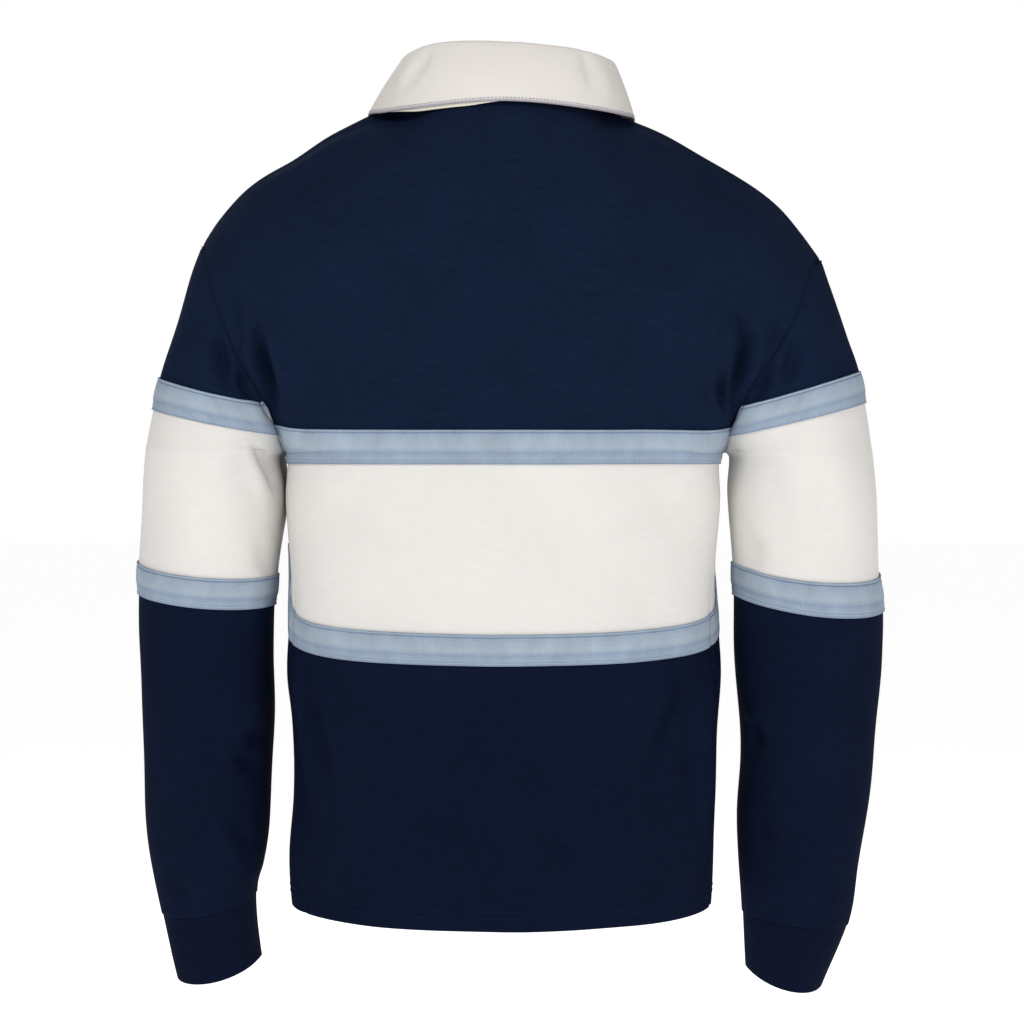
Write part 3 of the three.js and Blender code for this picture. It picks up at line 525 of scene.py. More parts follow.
# Height of one fold over an array of (x, z) places
def creaseHeight(spots, crease):
    line = rounded(crease["line"])
    steps = np.diff(line, axis=0)
    longs = np.hypot(steps[:, 0], steps[:, 1])
    starts = np.concatenate([[0], np.cumsum(longs)[:-1]])
    nearest = np.full(len(spots), np.inf)
    along = np.zeros(len(spots))
    for point, step, long, start in zip(line, steps, longs, starts):
        share = clamp(((spots - point) @ step) / long ** 2)
        away = np.hypot(*(spots - point - share[:, None] * step).T)
        closer = away < nearest
        nearest = np.where(closer, away, nearest)
        along = np.where(closer, (start + share * long) / longs.sum(), along)
    peak = crease["peak"]
    swell = ease(clamp(np.minimum(along / peak, (1 - along) / (1 - peak))))
    wide = crease["wide"] * mix(foldEnd, 1, swell)
    return crease["deep"] * swell * np.exp(-((nearest / wide) ** 2))


def waveHeight(points):
    rng = np.random.default_rng(softWaves["seed"])
    height = np.zeros(len(points))
    for _ in range(softWaves["count"]):
        long = rng.uniform(softWaves["shortest"], softWaves["longest"])
        way = rng.normal(size=3) * (1, 1, softWaves["upright"])
        way /= np.linalg.norm(way)
        shift = rng.uniform(0, 2 * math.pi)
        height += softWaves["rise"] * long * np.sin(points @ way * 2 * math.pi / long + shift)
    return height


def foldHeight(points, on):
    height = np.zeros(len(points))
    spots = points[:, [0, 2]]
    for crease in creases:
        if crease["on"] not in (on, "both"):
            continue
        depth = points[:, 1] * crease["face"] if crease["face"] else np.full(len(points), math.inf)
        facing = clamp((depth - foldClear["from"]) / foldClear["over"])
        near = ease(facing) > 0
        height[near] += foldStrength[crease["on"]] * creaseHeight(spots[near], crease) * ease(facing[near])
    return height


# Beside the neck the cloth runs smoothly from the neckline into the shoulder
ironing = {"from": 0.004, "full": 0.03, "fade": 0.2, "end": 0.42, "middle": 0.42, "wide": 0.17, "times": 60}


def ironNeck(points, rows, columns):
    rowShare = ease(clamp((np.array(rows) - ironing["from"]) / ironing["full"]))
    rowShare *= ease(clamp((ironing["end"] - np.array(rows)) / ironing["fade"]))
    columnShare = np.exp(-(((np.abs(columns) - ironing["middle"]) / ironing["wide"]) ** 2))
    share = (rowShare[:, None] * columnShare[None, :])[:, 1:-1, None] / 2
    for _ in range(ironing["times"]):
        points[:, 1:-1] += share * ((points[:, 2:] + points[:, :-2]) / 2 - points[:, 1:-1])


# The shoulders' crest is round: the rows next to it are smoothed across it, and it keeps its height
shoulder = {"rows": 9, "times": 40, "from": 0.43, "full": 0.06, "end": 0.995, "fade": 0.05}


def roundShoulders(front, back, columns):
    count = shoulder["rows"]
    strip = np.concatenate([front[count:0:-1], back[:count + 1]])
    crest = strip[count].copy()
    reach = np.abs(columns)
    share = ease(clamp((reach - shoulder["from"]) / shoulder["full"]))
    share = (share * ease(clamp((shoulder["end"] - reach) / shoulder["fade"])))[None, :, None]
    for _ in range(shoulder["times"]):
        strip[1:-1] += share * ((strip[2:] + strip[:-2]) / 2 - strip[1:-1])
    strip += (crest - strip[count]) * ease(1 - np.abs(np.linspace(-1, 1, 2 * count + 1)))[:, None, None]
    isShoulder = reach > shoulder["from"]
    front[:count + 1, isShoulder] = strip[count::-1, isShoulder]
    back[:count + 1, isShoulder] = strip[count:, isShoulder]


# The skin of the whole shirt: grids whose points are merged where panels meet
skin = {"grids": {}, "points": None, "normals": None}


def makeSkin():
    grids = {}
    for name, face in (("back", 1), ("front", -1)):
        points = np.array([bodyLine(face, bodyColumns, row) for row in bodyRows])
        ironNeck(points, bodyRows, bodyColumns)
        grids[name] = {"points": points, "rows": bodyRows, "columns": bodyColumns, "turned": face < 0,
                       "on": "body"}
    roundShoulders(grids["front"]["points"], grids["back"]["points"], bodyColumns)
    for name, side in sides.items():
        for part, rows in ((name, sleeveRows), (f"{name}Cuff", cuffRows)):
            points = np.array([sleeveLine(side, sleeveColumns, row) for row in rows])
            grids[part] = {"points": points, "rows": rows, "columns": sleeveColumns,
                           "turned": side["sign"] > 0, "on": "sleeve"}
    heights = []
    for name, grid in grids.items():
        points = grid["points"]
        away = np.minimum(*(np.linalg.norm(points - points[:, edge], axis=2) for edge in ([0], [-1])))
        isSeam = np.array(grid["rows"]) <= armpitRow
        dip = seamDip["deep"] * np.exp(-((away / seamDip["wide"]) ** 2)) * isSeam[:, None]
        flat = points.reshape(-1, 3)
        heights.append(foldHeight(flat, grid["on"]) + waveHeight(flat) - dip.reshape(-1))
    everyPoint = np.vstack([grid["points"].reshape(-1, 3) for grid in grids.values()])
    height = np.concatenate(heights)
    keys = np.round(everyPoint, 2) + 0.0
    _, first, ids = np.unique(keys, axis=0, return_index=True, return_inverse=True)
    ids = ids.reshape(-1)
    count = len(first)
    shared = np.bincount(ids, minlength=count)
    merged = everyPoint[first]
    mergedHeight = np.bincount(ids, weights=height, minlength=count) / shared
    start = 0
    for grid in grids.values():
        size = grid["points"].shape[0] * grid["points"].shape[1]
        grid["ids"] = ids[start:start + size].reshape(grid["points"].shape[:2])
        start += size
    normals = skinNormals(merged, grids)
    merged = merged + normals * mergedHeight[:, None]
    skin["grids"] = grids
    skin["points"] = merged
    skin["normals"] = skinNormals(merged, grids)


def quadsOf(ids, turned):
    a, b, c, d = ids[:-1, :-1], ids[:-1, 1:], ids[1:, 1:], ids[1:, :-1]
    order = (a, d, c, b) if turned else (a, b, c, d)
    return np.stack([corner.reshape(-1) for corner in order], axis=1)


def skinNormals(points, grids):
    normals = np.zeros_like(points)
    for grid in grids.values():
        quads = quadsOf(grid["ids"], grid["turned"])
        a, b, c, d = (points[corner] for corner in quads.T)
        facing = np.cross(c - a, d - b)
        for corner in quads.T:
            np.add.at(normals, corner, facing)
    return normals / np.maximum(np.linalg.norm(normals, axis=1), tiny)[:, None]


makeSkin()
print("skin made:", len(skin["points"]), "points")


# A mesh object from points in millimetres
def addMesh(name, points, faces, material, uvs=None):
    mesh = bpy.data.meshes.new(name)
    mesh.from_pydata((np.asarray(points) * mm).tolist(), [], faces)
    if uvs is not None:
        layer = mesh.uv_layers.new(name="weave")
        layer.data.foreach_set("uv", np.asarray(uvs, dtype=np.float32).reshape(-1) * mm)
    mesh.materials.append(material)
    mesh.polygons.foreach_set("use_smooth", [True] * len(mesh.polygons))
    mesh.validate()
    mesh.update()
    piece = bpy.data.objects.new(name, mesh)
    bpy.context.scene.collection.objects.link(piece)
    return piece


# A closed wall of cloth over a grid of skin numbers, between two heights, with round edges
def addWall(name, ids, keep, turned, high, low, across, down, bulge, material):
    used, local = np.unique(ids, return_inverse=True)
    local = local.reshape(ids.shape)
    points, normals = skin["points"][used], skin["normals"][used]
    highs, lows = np.zeros(len(used)), np.zeros(len(used))
    highs[local], lows[local] = high, low
    quads = quadsOf(local, turned)[keep.reshape(-1)]
    u, v = np.meshgrid(across, down)
    cornerUvs = [quadsOf(part, turned)[keep.reshape(-1)] for part in (u, v)]
    count = len(used)
    directed = {}
    for a, b, c, d in quads.tolist():
        for edge in ((a, b), (b, c), (c, d), (d, a)):
            if edge[0] != edge[1]:
                if (edge[1], edge[0]) in directed:
                    del directed[(edge[1], edge[0])]
                else:
                    directed[edge] = True
    edges = list(directed)
    pull = np.zeros((count, 3))
    for a, b in edges:
        inward = np.cross(normals[a] + normals[b], points[b] - points[a])
        inward /= max(np.linalg.norm(inward), tiny)
        pull[a] += inward
        pull[b] += inward
    pull /= np.maximum(np.linalg.norm(pull, axis=1), tiny)[:, None]
    drawn = points + pull * cloth["drawBack"]
    outer = drawn + normals * highs[:, None]
    inner = drawn + normals * lows[:, None]
    middle = (outer + inner) / 2 - pull * (bulge + cloth["rimLift"])
    rimOrder = sorted({i for edge in edges for i in edge})
    rimAt = {i: 2 * count + j for j, i in enumerate(rimOrder)}
    faces, uvs = [], []
    for quad, us, vs in zip(quads.tolist(), cornerUvs[0].tolist(), cornerUvs[1].tolist()):
        corners = [i for n, i in enumerate(quad) if i != quad[n - 1]]
        spots = [(us[n], vs[n]) for n, i in enumerate(quad) if i != quad[n - 1]]
        faces.append(corners)
        uvs += spots
        faces.append([i + count for i in reversed(corners)])
        uvs += reversed(spots)
    uvAt = {}
    for quad, us, vs in zip(quads.tolist(), cornerUvs[0].tolist(), cornerUvs[1].tolist()):
        for n, i in enumerate(quad):
            uvAt[i] = (us[n], vs[n])
    for a, b in edges:
        faces.append([b, a, rimAt[a], rimAt[b]])
        faces.append([rimAt[b], rimAt[a], a + count, b + count])
        uvs += [uvAt[b], uvAt[a], uvAt[a], uvAt[b]] * 2
    return addMesh(name, np.vstack([outer, inner, middle[rimOrder]]), faces, material, uvs)


def lengthsAlong(points):
    return np.concatenate([[0], np.cumsum(np.linalg.norm(np.diff(points, axis=0), axis=1))])


# The rows of a grid from one mark to another, with what addWall needs
def stripOf(part, start, end):
    grid = skin["grids"][part]
    first, last = grid["rows"].index(start), grid["rows"].index(end)
    ids = grid["ids"][first:last + 1]
    middleRow = grid["ids"][(first + last) // 2]
    girth = lengthsAlong(skin["points"][middleRow])
    down = lengthsAlong(skin["points"][grid["ids"][:, len(grid["columns"]) // 2]])[first:last + 1]
    keep = np.ones((ids.shape[0] - 1, ids.shape[1] - 1), bool)
    across = girth - girth[-1] / 2
    return {"grid": grid, "first": first, "ids": ids, "across": across, "down": down, "keep": keep}


def addPanel(name, part, start, end, material, high=0.0, low=None, bulge=0.0):
    strip = stripOf(part, start, end)
    lowest = -cloth["wall"] if low is None else low
    return addWall(name, strip["ids"], strip["keep"], strip["grid"]["turned"], high, lowest, strip["across"],
                   strip["down"], bulge, material)


# Shader groups used by several materials
def newGroup(name, inputs, outputs):
    group = bpy.data.node_groups.new(name, "ShaderNodeTree")
    for label, kind, value in inputs:
        socket = group.interface.new_socket(label, in_out="INPUT", socket_type=kind)
        if value is not None:
            socket.default_value = value
    for label, kind in outputs:
        group.interface.new_socket(label, in_out="OUTPUT", socket_type=kind)
    return group, group.nodes.new("NodeGroupInput"), group.nodes.new("NodeGroupOutput")


def mathNode(tree, operation, first, second=None, third=None):
    node = tree.nodes.new("ShaderNodeMath")
    node.operation = operation
    for i, value in enumerate((first, second, third)):
        if value is None:
            continue
        if isinstance(value, (int, float)):
            node.inputs[i].default_value = value
        else:
            tree.links.new(value, node.inputs[i])
    return node.outputs[0]


def noiseNode(tree, coords, scale, detail, stretch=(1, 1, 1)):
    mapping = tree.nodes.new("ShaderNodeMapping")
    mapping.inputs["Scale"].default_value = stretch
    tree.links.new(coords, mapping.inputs["Vector"])
    noise = tree.nodes.new("ShaderNodeTexNoise")
    noise.inputs["Scale"].default_value = scale
    noise.inputs["Detail"].default_value = detail
    tree.links.new(mapping.outputs[0], noise.inputs["Vector"])
    return noise.outputs["Fac"]


# Heavy jersey: columns of small knitted loops, with uneven yarn and a soft cloudiness
knit = {"yarn": 420, "streak": 260, "slub": 130, "speck": 700, "sway": 2.2, "arch": 2.0, "courses": 1.3,
        "courseHigh": 0.5, "waleHigh": 0.6, "loopHigh": 0.35, "streakHigh": 0.8, "slubTone": 1.6,
        "streakTone": 0.5, "toneShift": -0.75, "speckTone": 0.4}


def makeKnitGrain():
    group, given, result = newGroup(
        "knitGrain",
        [("Weave", "NodeSocketVector", None), ("Pitch", "NodeSocketFloat", 0.0012)],
        [("Height", "NodeSocketFloat"), ("Tone", "NodeSocketFloat")],
    )
    split = group.nodes.new("ShaderNodeSeparateXYZ")
    group.links.new(given.outputs["Weave"], split.inputs[0])
    yarn = noiseNode(group, given.outputs["Weave"], knit["yarn"], 2, (1, 2.4, 1))
    wobble = mathNode(group, "MULTIPLY_ADD", yarn, knit["sway"], -knit["sway"] / 2)
    turns = mathNode(group, "DIVIDE", split.outputs["X"], given.outputs["Pitch"])
    rows = mathNode(group, "DIVIDE", split.outputs["Y"], given.outputs["Pitch"])
    waleTurn = mathNode(group, "MULTIPLY_ADD", turns, 2 * math.pi, wobble)
    wale = mathNode(group, "SINE", waleTurn)
    slant = mathNode(group, "ABSOLUTE", wale)
    arch = mathNode(group, "MULTIPLY", slant, knit["arch"])
    courseTurn = mathNode(group, "MULTIPLY_ADD", rows, 2 * math.pi * knit["courses"], arch)
    course = mathNode(group, "SINE", courseTurn)
    walesHigh = mathNode(group, "MULTIPLY", slant, knit["waleHigh"])
    loops = mathNode(group, "MULTIPLY_ADD", course, knit["courseHigh"], walesHigh)
    streak = noiseNode(group, given.outputs["Weave"], knit["streak"], 3, (0.4, 2.2, 1))
    slub = noiseNode(group, given.outputs["Weave"], knit["slub"], 5, (0.6, 1.9, 1))
    speck = noiseNode(group, given.outputs["Weave"], knit["speck"], 2, (0.7, 1.4, 1))
    loopsHigh = mathNode(group, "MULTIPLY", loops, knit["loopHigh"])
    height = mathNode(group, "MULTIPLY_ADD", streak, knit["streakHigh"], loopsHigh)
    streaks = mathNode(group, "MULTIPLY_ADD", streak, knit["streakTone"], knit["toneShift"])
    mottle = mathNode(group, "MULTIPLY_ADD", slub, knit["slubTone"], streaks)
    tone = mathNode(group, "MULTIPLY_ADD", speck, knit["speckTone"], mottle)
    group.links.new(height, result.inputs["Height"])
    group.links.new(tone, result.inputs["Tone"])
    return group


# Twill: fine raised lines on a slant, with uneven threads
twillGrain = {"thread": 500, "threadHigh": 0.7, "lineHigh": 0.4}


def makeTwillLines():
    group, given, result = newGroup(
        "twillLines",
        [("Weave", "NodeSocketVector", None), ("Pitch", "NodeSocketFloat", 0.0011),
         ("Slant", "NodeSocketFloat", 0.7)],
        [("Height", "NodeSocketFloat"), ("Tone", "NodeSocketFloat")],
    )
    split = group.nodes.new("ShaderNodeSeparateXYZ")
    group.links.new(given.outputs["Weave"], split.inputs[0])
    leaning = mathNode(group, "MULTIPLY_ADD", split.outputs["Y"], given.outputs["Slant"], split.outputs["X"])
    turns = mathNode(group, "DIVIDE", leaning, given.outputs["Pitch"])
    uneven = noiseNode(group, given.outputs["Weave"], twillGrain["thread"], 2)
    line = mathNode(group, "SINE", mathNode(group, "MULTIPLY_ADD", turns, 2 * math.pi, uneven))
    raised = mathNode(group, "MULTIPLY", line, twillGrain["lineHigh"])
    height = mathNode(group, "MULTIPLY_ADD", uneven, twillGrain["threadHigh"], raised)
    group.links.new(height, result.inputs["Height"])
    group.links.new(uneven, result.inputs["Tone"])
    return group


knitGrain = makeKnitGrain()
twillLines = makeTwillLines()


def mixColor(tree, share, low, high):
    node = tree.nodes.new("ShaderNodeMix")
    node.data_type = "RGBA"
    for socket, value in ((node.inputs["A"], low), (node.inputs["B"], high)):
        if isinstance(value, (tuple, list)):
            socket.default_value = (*value, 1)
        else:
            tree.links.new(value, socket)
    tree.links.new(share, node.inputs["Factor"])
    return node.outputs["Result"]


# Linear values of a colour that is given as on a screen, from 0 to 255
def linear(color):
    shares = [value / 255 for value in color]
    return tuple(c / 12.92 if c <= 0.04045 else ((c + 0.055) / 1.055) ** 2.4 for c in shares)


def shaded(color, factor):
    return tuple(c * factor for c in linear(color))


# Tones that follow a strip's width, painted shade on the tape and a grey stitched edge on the collar: each
# stop is a place in millimetres and how pale the cloth is there
def addWidthTonesAndPaintedShade(tree, weave, color, height, finish):
    split = tree.nodes.new("ShaderNodeSeparateXYZ")
    tree.links.new(weave, split.inputs[0])
    pucker = noiseNode(tree, weave, finish["puckerScale"], 3, (1, 0.4, 1))
    wander = mathNode(tree, "MULTIPLY_ADD", pucker, finish["wander"] * mm, -finish["wander"] * mm / 2)
    along = mathNode(tree, "ADD", split.outputs[finish["shadeAxis"]], wander)
    stops = finish["shades"]
    first, last = stops[0][0], stops[-1][0]
    place = tree.nodes.new("ShaderNodeMapRange")
    place.inputs["From Min"].default_value = first * mm
    place.inputs["From Max"].default_value = last * mm
    tree.links.new(along, place.inputs["Value"])
    ramp = tree.nodes.new("ShaderNodeValToRGB")
    elements = ramp.color_ramp.elements
    while len(elements) < len(stops):
        elements.new(0.5)
    for element, (at, tint) in zip(elements, stops):
        element.position = (at - first) / (last - first)
        element.color = (*shaded(tint, 1), 1)
    tree.links.new(place.outputs["Result"], ramp.inputs["Fac"])
    # Painted shade of the puckers: the pucker noise that raises the bump also darkens and lightens the colour
    paintedPuckerShade = mathNode(tree, "MULTIPLY_ADD", pucker, finish["puckerShadeStrength"], 1 - finish["puckerShadeStrength"] / 2)
    tinted = tree.nodes.new("ShaderNodeMix")
    tinted.data_type = "RGBA"
    tinted.blend_type = "MULTIPLY"
    tinted.inputs["Factor"].default_value = 1
    tree.links.new(color, tinted.inputs["A"])
    tree.links.new(ramp.outputs["Color"], tinted.inputs["B"])
    scaled = tree.nodes.new("ShaderNodeVectorMath")
    scaled.operation = "SCALE"
    tree.links.new(tinted.outputs["Result"], scaled.inputs[0])
    tree.links.new(paintedPuckerShade, scaled.inputs["Scale"])
    return scaled.outputs[0], mathNode(tree, "MULTIPLY_ADD", pucker, finish["puckerHigh"], height)


# Cloth material: finish holds its colour, grain and bump
roughSpread = 0.1


def makeCloth(name, finish):
    material = bpy.data.materials.new(name)
    material.use_nodes = True
    tree = material.node_tree
    shader = tree.nodes["Principled BSDF"]
    weave = tree.nodes.new("ShaderNodeUVMap")
    weave.uv_map = "weave"
    place = tree.nodes.new("ShaderNodeTexCoord")
    grain = tree.nodes.new("ShaderNodeGroup")
    grain.node_tree = finish["grain"]
    grain.inputs["Pitch"].default_value = finish["pitch"]
    tree.links.new(weave.outputs[0], grain.inputs["Weave"])
    cloud = noiseNode(tree, place.outputs["Object"], finish["cloudScale"], 3)
    deep = shaded(finish["color"], 1 - finish["contrast"])
    pale = shaded(finish["color"], 1 + finish["contrast"])
    woven = mixColor(tree, grain.outputs["Tone"], deep, pale)
    dim = shaded(finish["color"], 1 - finish["cloud"])
    bright = shaded(finish["color"], 1 + finish["cloud"])
    clouded = mixColor(tree, cloud, dim, bright)
    both = tree.nodes.new("ShaderNodeMix")
    both.data_type = "RGBA"
    both.inputs["Factor"].default_value = 0.5
    tree.links.new(woven, both.inputs["A"])
    tree.links.new(clouded, both.inputs["B"])
    color = both.outputs["Result"]
    height = grain.outputs["Height"]
    if "shades" in finish:
        color, height = addWidthTonesAndPaintedShade(tree, weave.outputs[0], color, height, finish)
    tree.links.new(color, shader.inputs["Base Color"])
    bump = tree.nodes.new("ShaderNodeBump")
    bump.inputs["Strength"].default_value = finish["bump"]
    bump.inputs["Distance"].default_value = finish["relief"] * mm
    tree.links.new(height, bump.inputs["Height"])
    tree.links.new(bump.outputs["Normal"], shader.inputs["Normal"])
    smoothest = finish["roughness"] - roughSpread / 2
    rough = mathNode(tree, "MULTIPLY_ADD", grain.outputs["Tone"], roughSpread, smoothest)
    tree.links.new(rough, shader.inputs["Roughness"])
    shader.inputs["Specular IOR Level"].default_value = finish["specular"]
    return material


# Painted shade over the width of the tape: pale edges, painted shadow in the dark needle channels and along
# the step of the seam below
tapePaintedShade = [
    (0, (225, 235, 245)),
    (1.4, (255, 255, 255)),
    (1.9, (196, 206, 222)),
    (2.7, (190, 200, 218)),
    (3.3, (236, 242, 248)),
    (14, (255, 255, 255)),
    (17.2, (236, 241, 247)),
    (18.9, (216, 224, 236)),
    (21.4, (230, 236, 243)),
    (24.6, (238, 243, 248)),
    (25.4, (206, 215, 230)),
    (26.2, (238, 243, 248)),
    (28.4, (205, 214, 230)),
]
# The collar's leaf ends in a grey stitched edge
collarShades = [
    (0, (255, 255, 255)),
    (94, (255, 255, 255)),
    (94.8, (203, 202, 212)),
    (96.4, (186, 185, 200)),
]
jersey = {"grain": knitGrain, "pitch": 0.0013, "contrast": 0.42, "cloud": 0.34, "cloudScale": 22, "bump": 0.7,
          "relief": 0.25, "roughness": 0.95, "specular": 0.05}
twill = {"grain": twillLines, "pitch": 0.0012, "contrast": 0.05, "cloud": 0.02, "cloudScale": 12, "bump": 0.5,
         "relief": 0.18, "roughness": 0.9, "specular": 0.1}
thread = {"grain": twillLines, "pitch": 0.0006, "contrast": 0.1, "cloud": 0.02, "cloudScale": 20, "bump": 0.4,
          "relief": 0.1, "roughness": 0.8, "specular": 0.2}
finishes = {
    "navyJersey": {**jersey, "color": (16, 28, 50)},
    # The lower panels take the navy jersey made darker: painted shade low on the body and sleeves
    "navyInPaintedShade": {**jersey, "color": (11, 20, 41)},
    "cuffNavy": {**jersey, "color": (11, 18, 38)},
    "whiteJersey": {**jersey, "color": (224, 221, 217), "contrast": 0.05, "cloud": 0.045, "cloudScale": 16,
                    "bump": 0.55, "relief": 0.22, "roughness": 0.92, "specular": 0.1},
    "blueTape": {**twill, "color": (165, 177, 190), "contrast": 0.22, "cloud": 0.2, "cloudScale": 34,
                 "bump": 0.8, "relief": 0.3, "roughness": 0.85, "specular": 0.12, "shades": tapePaintedShade,
                 "shadeAxis": "Y", "puckerScale": 60, "puckerShadeStrength": 0.46, "puckerHigh": 3, "wander": 1.6},
    "collarTwill": {**twill, "color": (220, 215, 209), "shades": collarShades, "shadeAxis": "X",
                    "puckerScale": 60, "puckerShadeStrength": 0.04, "puckerHigh": 0.8, "wander": 0.2},
    "plainTwill": {**twill, "color": (232, 225, 210)},
    "placketTwill": {**twill, "color": (221, 216, 208)},
    # The tapes' top stitch row takes the tape thread made darker: painted shade in the top needle channel
    "threadInPaintedShade": {**thread, "color": (112, 130, 156)},
    "tapeThread": {**thread, "color": (176, 190, 206)},
    "navyThread": {**thread, "color": (20, 34, 62), "contrast": 0.15, "cloud": 0.05, "roughness": 0.95,
                   "specular": 0.03},
    "collarThread": {**thread, "color": (150, 150, 166)},
}
materials = {name: makeCloth(name, finish) for name, finish in finishes.items()}
print("cloth materials made")


def keepPiece(piece, node=None):
    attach(piece, "root")
    if node:
        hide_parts(node)
    return piece


# Tape: its relief across the width, from the upper edge (0) to the lower (1), over the seam that it covers
tape = {"wide": 28.4, "low": 0.5, "edge": 1.8, "bulge": 0.3, "roam": 0.028, "roams": (31, 47, 73)}
tapeRelief = table(
    "at high",
    (0, tape['edge']),
    (0.04, 1.7),
    (0.08, 1.05),
    (0.13, 1.7),
    (0.35, 2.1),
    (0.55, 2.3),
    (0.63, 2.1),
    (0.72, 1.6),
    (0.8, 1.65),
    (0.87, 1.65),
    (0.92, 1.05),
    (0.96, 1.7),
    (1, tape['edge']),
)


def addTape(name, part, start, end):
    strip = stripOf(part, start, end)
    at = (strip["down"] - strip["down"][0]) / (strip["down"][-1] - strip["down"][0])
    roam = sum(np.sin(strip["across"] * 2 * math.pi / long + long) for long in tape["roams"]) * tape["roam"]
    place = at[:, None] + roam[None, :] * (np.sin(math.pi * at) ** 2)[:, None]
    high = curve(tapeRelief, "at", "high")(place)
    return addWall(name, strip["ids"], strip["keep"], strip["grid"]["turned"], high, tape["low"],
                   strip["across"], at * tape["wide"], tape["bulge"], materials["blueTape"])


def addTapes(stem, part, marks):
    for label, start, end in (("upper", "tapeTop", "tapeEnd"), ("lower", "lowTapeTop", "lowTapeEnd")):
        name = f"{stem}_tape_{label}"
        keepPiece(addTape(f"{name}_cloth", part, marks[start], marks[end]), name)


def addBody(part):
    marks = bodyMarks
    upper = stripOf(part, 0, marks["upperSeam"])
    if part == "front":
        rows = np.array(upper["grid"]["rows"])[:upper["keep"].shape[0]]
        columns = (bodyColumns[:-1] + bodyColumns[1:]) / 2
        upper["keep"] &= ~((rows[:, None] < slit["end"]) & (np.abs(columns)[None, :] < slit["share"]))
    piece = addWall(f"{part}_upper_cloth", upper["ids"], upper["keep"], upper["grid"]["turned"], 0.0,
                    -cloth["wall"], upper["across"], upper["down"], 0.0, materials["navyJersey"])
    keepPiece(piece, f"{part}_upper")
    piece = addPanel(f"{part}_middle_cloth", part, marks["upperSeam"], marks["lowerSeam"],
                     materials["whiteJersey"])
    keepPiece(piece, f"{part}_middle")
    lower = stripOf(part, marks["lowerSeam"], marks["hem"])
    rows = np.array(lower["grid"]["rows"][lower["first"]:])
    walls = np.where(rows <= marks["hemFold"], cloth["wall"] + cloth["hemTurn"], cloth["wall"])
    low = np.repeat(-walls[:, None], lower["ids"].shape[1], axis=1)
    piece = addWall(f"{part}_lower_cloth", lower["ids"], lower["keep"], lower["grid"]["turned"], 0.0, low,
                    lower["across"], lower["down"], cloth["rimBulge"], materials["navyInPaintedShade"])
    keepPiece(piece, f"{part}_lower")
    addTapes(part, part, marks)


cuff = {"inset": 1, "wall": 2.4}


def addSleeve(name):
    marks = sleeveMarks
    stem = f"sleeve_{name}"
    for label, first, last, finish, slot in (
        ("upper", 0, marks["upperSeam"], "navyJersey", "navy_jersey"),
        ("middle", marks["upperSeam"], marks["lowerSeam"], "whiteJersey", "white_jersey"),
        ("lower", marks["lowerSeam"], marks["cuff"], "navyInPaintedShade", "navy_jersey"),
    ):
        piece = addPanel(f"{stem}_{label}_cloth", name, first, last, materials[finish])
        keepPiece(piece, f"{stem}_{label}")
    addTapes(stem, name, marks)
    band = addPanel(f"cuff_{name}_cloth", f"{name}Cuff", marks["cuff"], marks["end"], materials["cuffNavy"],
                    -cuff["inset"], -cuff["inset"] - cuff["wall"], cloth["rimBulge"])
    keepPiece(band, f"cuff_{name}")


for part in ("back", "front"):
    addBody(part)
for name in sides:
    addSleeve(name)
print("panels, tapes and cuffs made")

# Collar from the middle of the back (0) to the front end (1), measured from the neckline
collarLeft = table(
    "at stand lean out fall slide belly",
    (0, 35, 3, 19, 15.5, 0, 3),
    (0.25, 38.6, 5, 20.5, 16.5, 0, 3),
    (0.4, 36, 8, 30, 14.5, 0, 2),
    (0.5, 34, 9.5, 40.5, 10.5, 0, 1.2),
    (0.64, 33, 8, 40, 9, 1, 2),
    (0.76, 31, 6, 37, 12, 4, 3),
    (0.9, 27, 4, 33, 26, 18, 3),
    (1, 22, 3, 32, 38, 38, 3),
)
collarRight = table(
    "at stand lean out fall slide belly",
    (0, 35, 3, 19, 15.5, 0, 3),
    (0.25, 34.6, 6, 20.5, 17, 0, 3),
    (0.4, 33.4, 11, 28, 16, 0, 2),
    (0.5, 34, 14, 34.5, 13, 0, 1.2),
    (0.64, 33, 10, 36, 10.5, 1, 2),
    (0.76, 31, 6, 36, 13, 4, 3),
    (0.9, 27, 4, 33, 26, 18, 3),
    (1, 22, 3, 32, 38, 38, 3),
)
collar = {"wall": 2, "lift": 0.7, "end": 0.97, "steps": 64, "bellyRise": 0.3, "leafSteps": 4, "fine": 5,
          "deep": 96, "waves": 0.35, "clear": 10, "bulge": 0.5, "look": 0.01}
standBend = {"out": 0.35, "up": 0.5}
collarFold = table("out down", (-3, 3.5), (-1, 0.4), (2.1, 0.6), (4.5, 3.5))
collarCreases = [
    fold("collar", 1, 4.5, -3.2, 0.35, (60, 40), (72, 20), (92, -8)),
    fold("collar", 1, 5, 1.8, 0.4, (74, 36), (84, 18), (98, -4)),
    fold("collar", 1, 5, -3, 0.3, (-66, 38), (-72, 14), (-76, -12)),
    fold("collar", 1, 6, 1.8, 0.5, (-80, 34), (-86, 10), (-90, -14)),
    fold("collar", 1, 16, 0.8, 0.5, (20, 30), (26, 8), (22, -14)),
    fold("collar", 1, 16, -0.7, 0.5, (-30, 30), (-34, 8), (-28, -14)),
]
collarStitch = {"inside": 1.7, "dip": 0.5, "wide": 0.9}


def neckPoint(sign, at):
    face = 1 if at < 0.5 else -1
    across = (at / 0.5 if at < 0.5 else (1 - at) / 0.5) * neckShare
    side = sides["left"] if sign > 0 else sides["right"]
    return topLine(side, face, np.array([across]))[0]


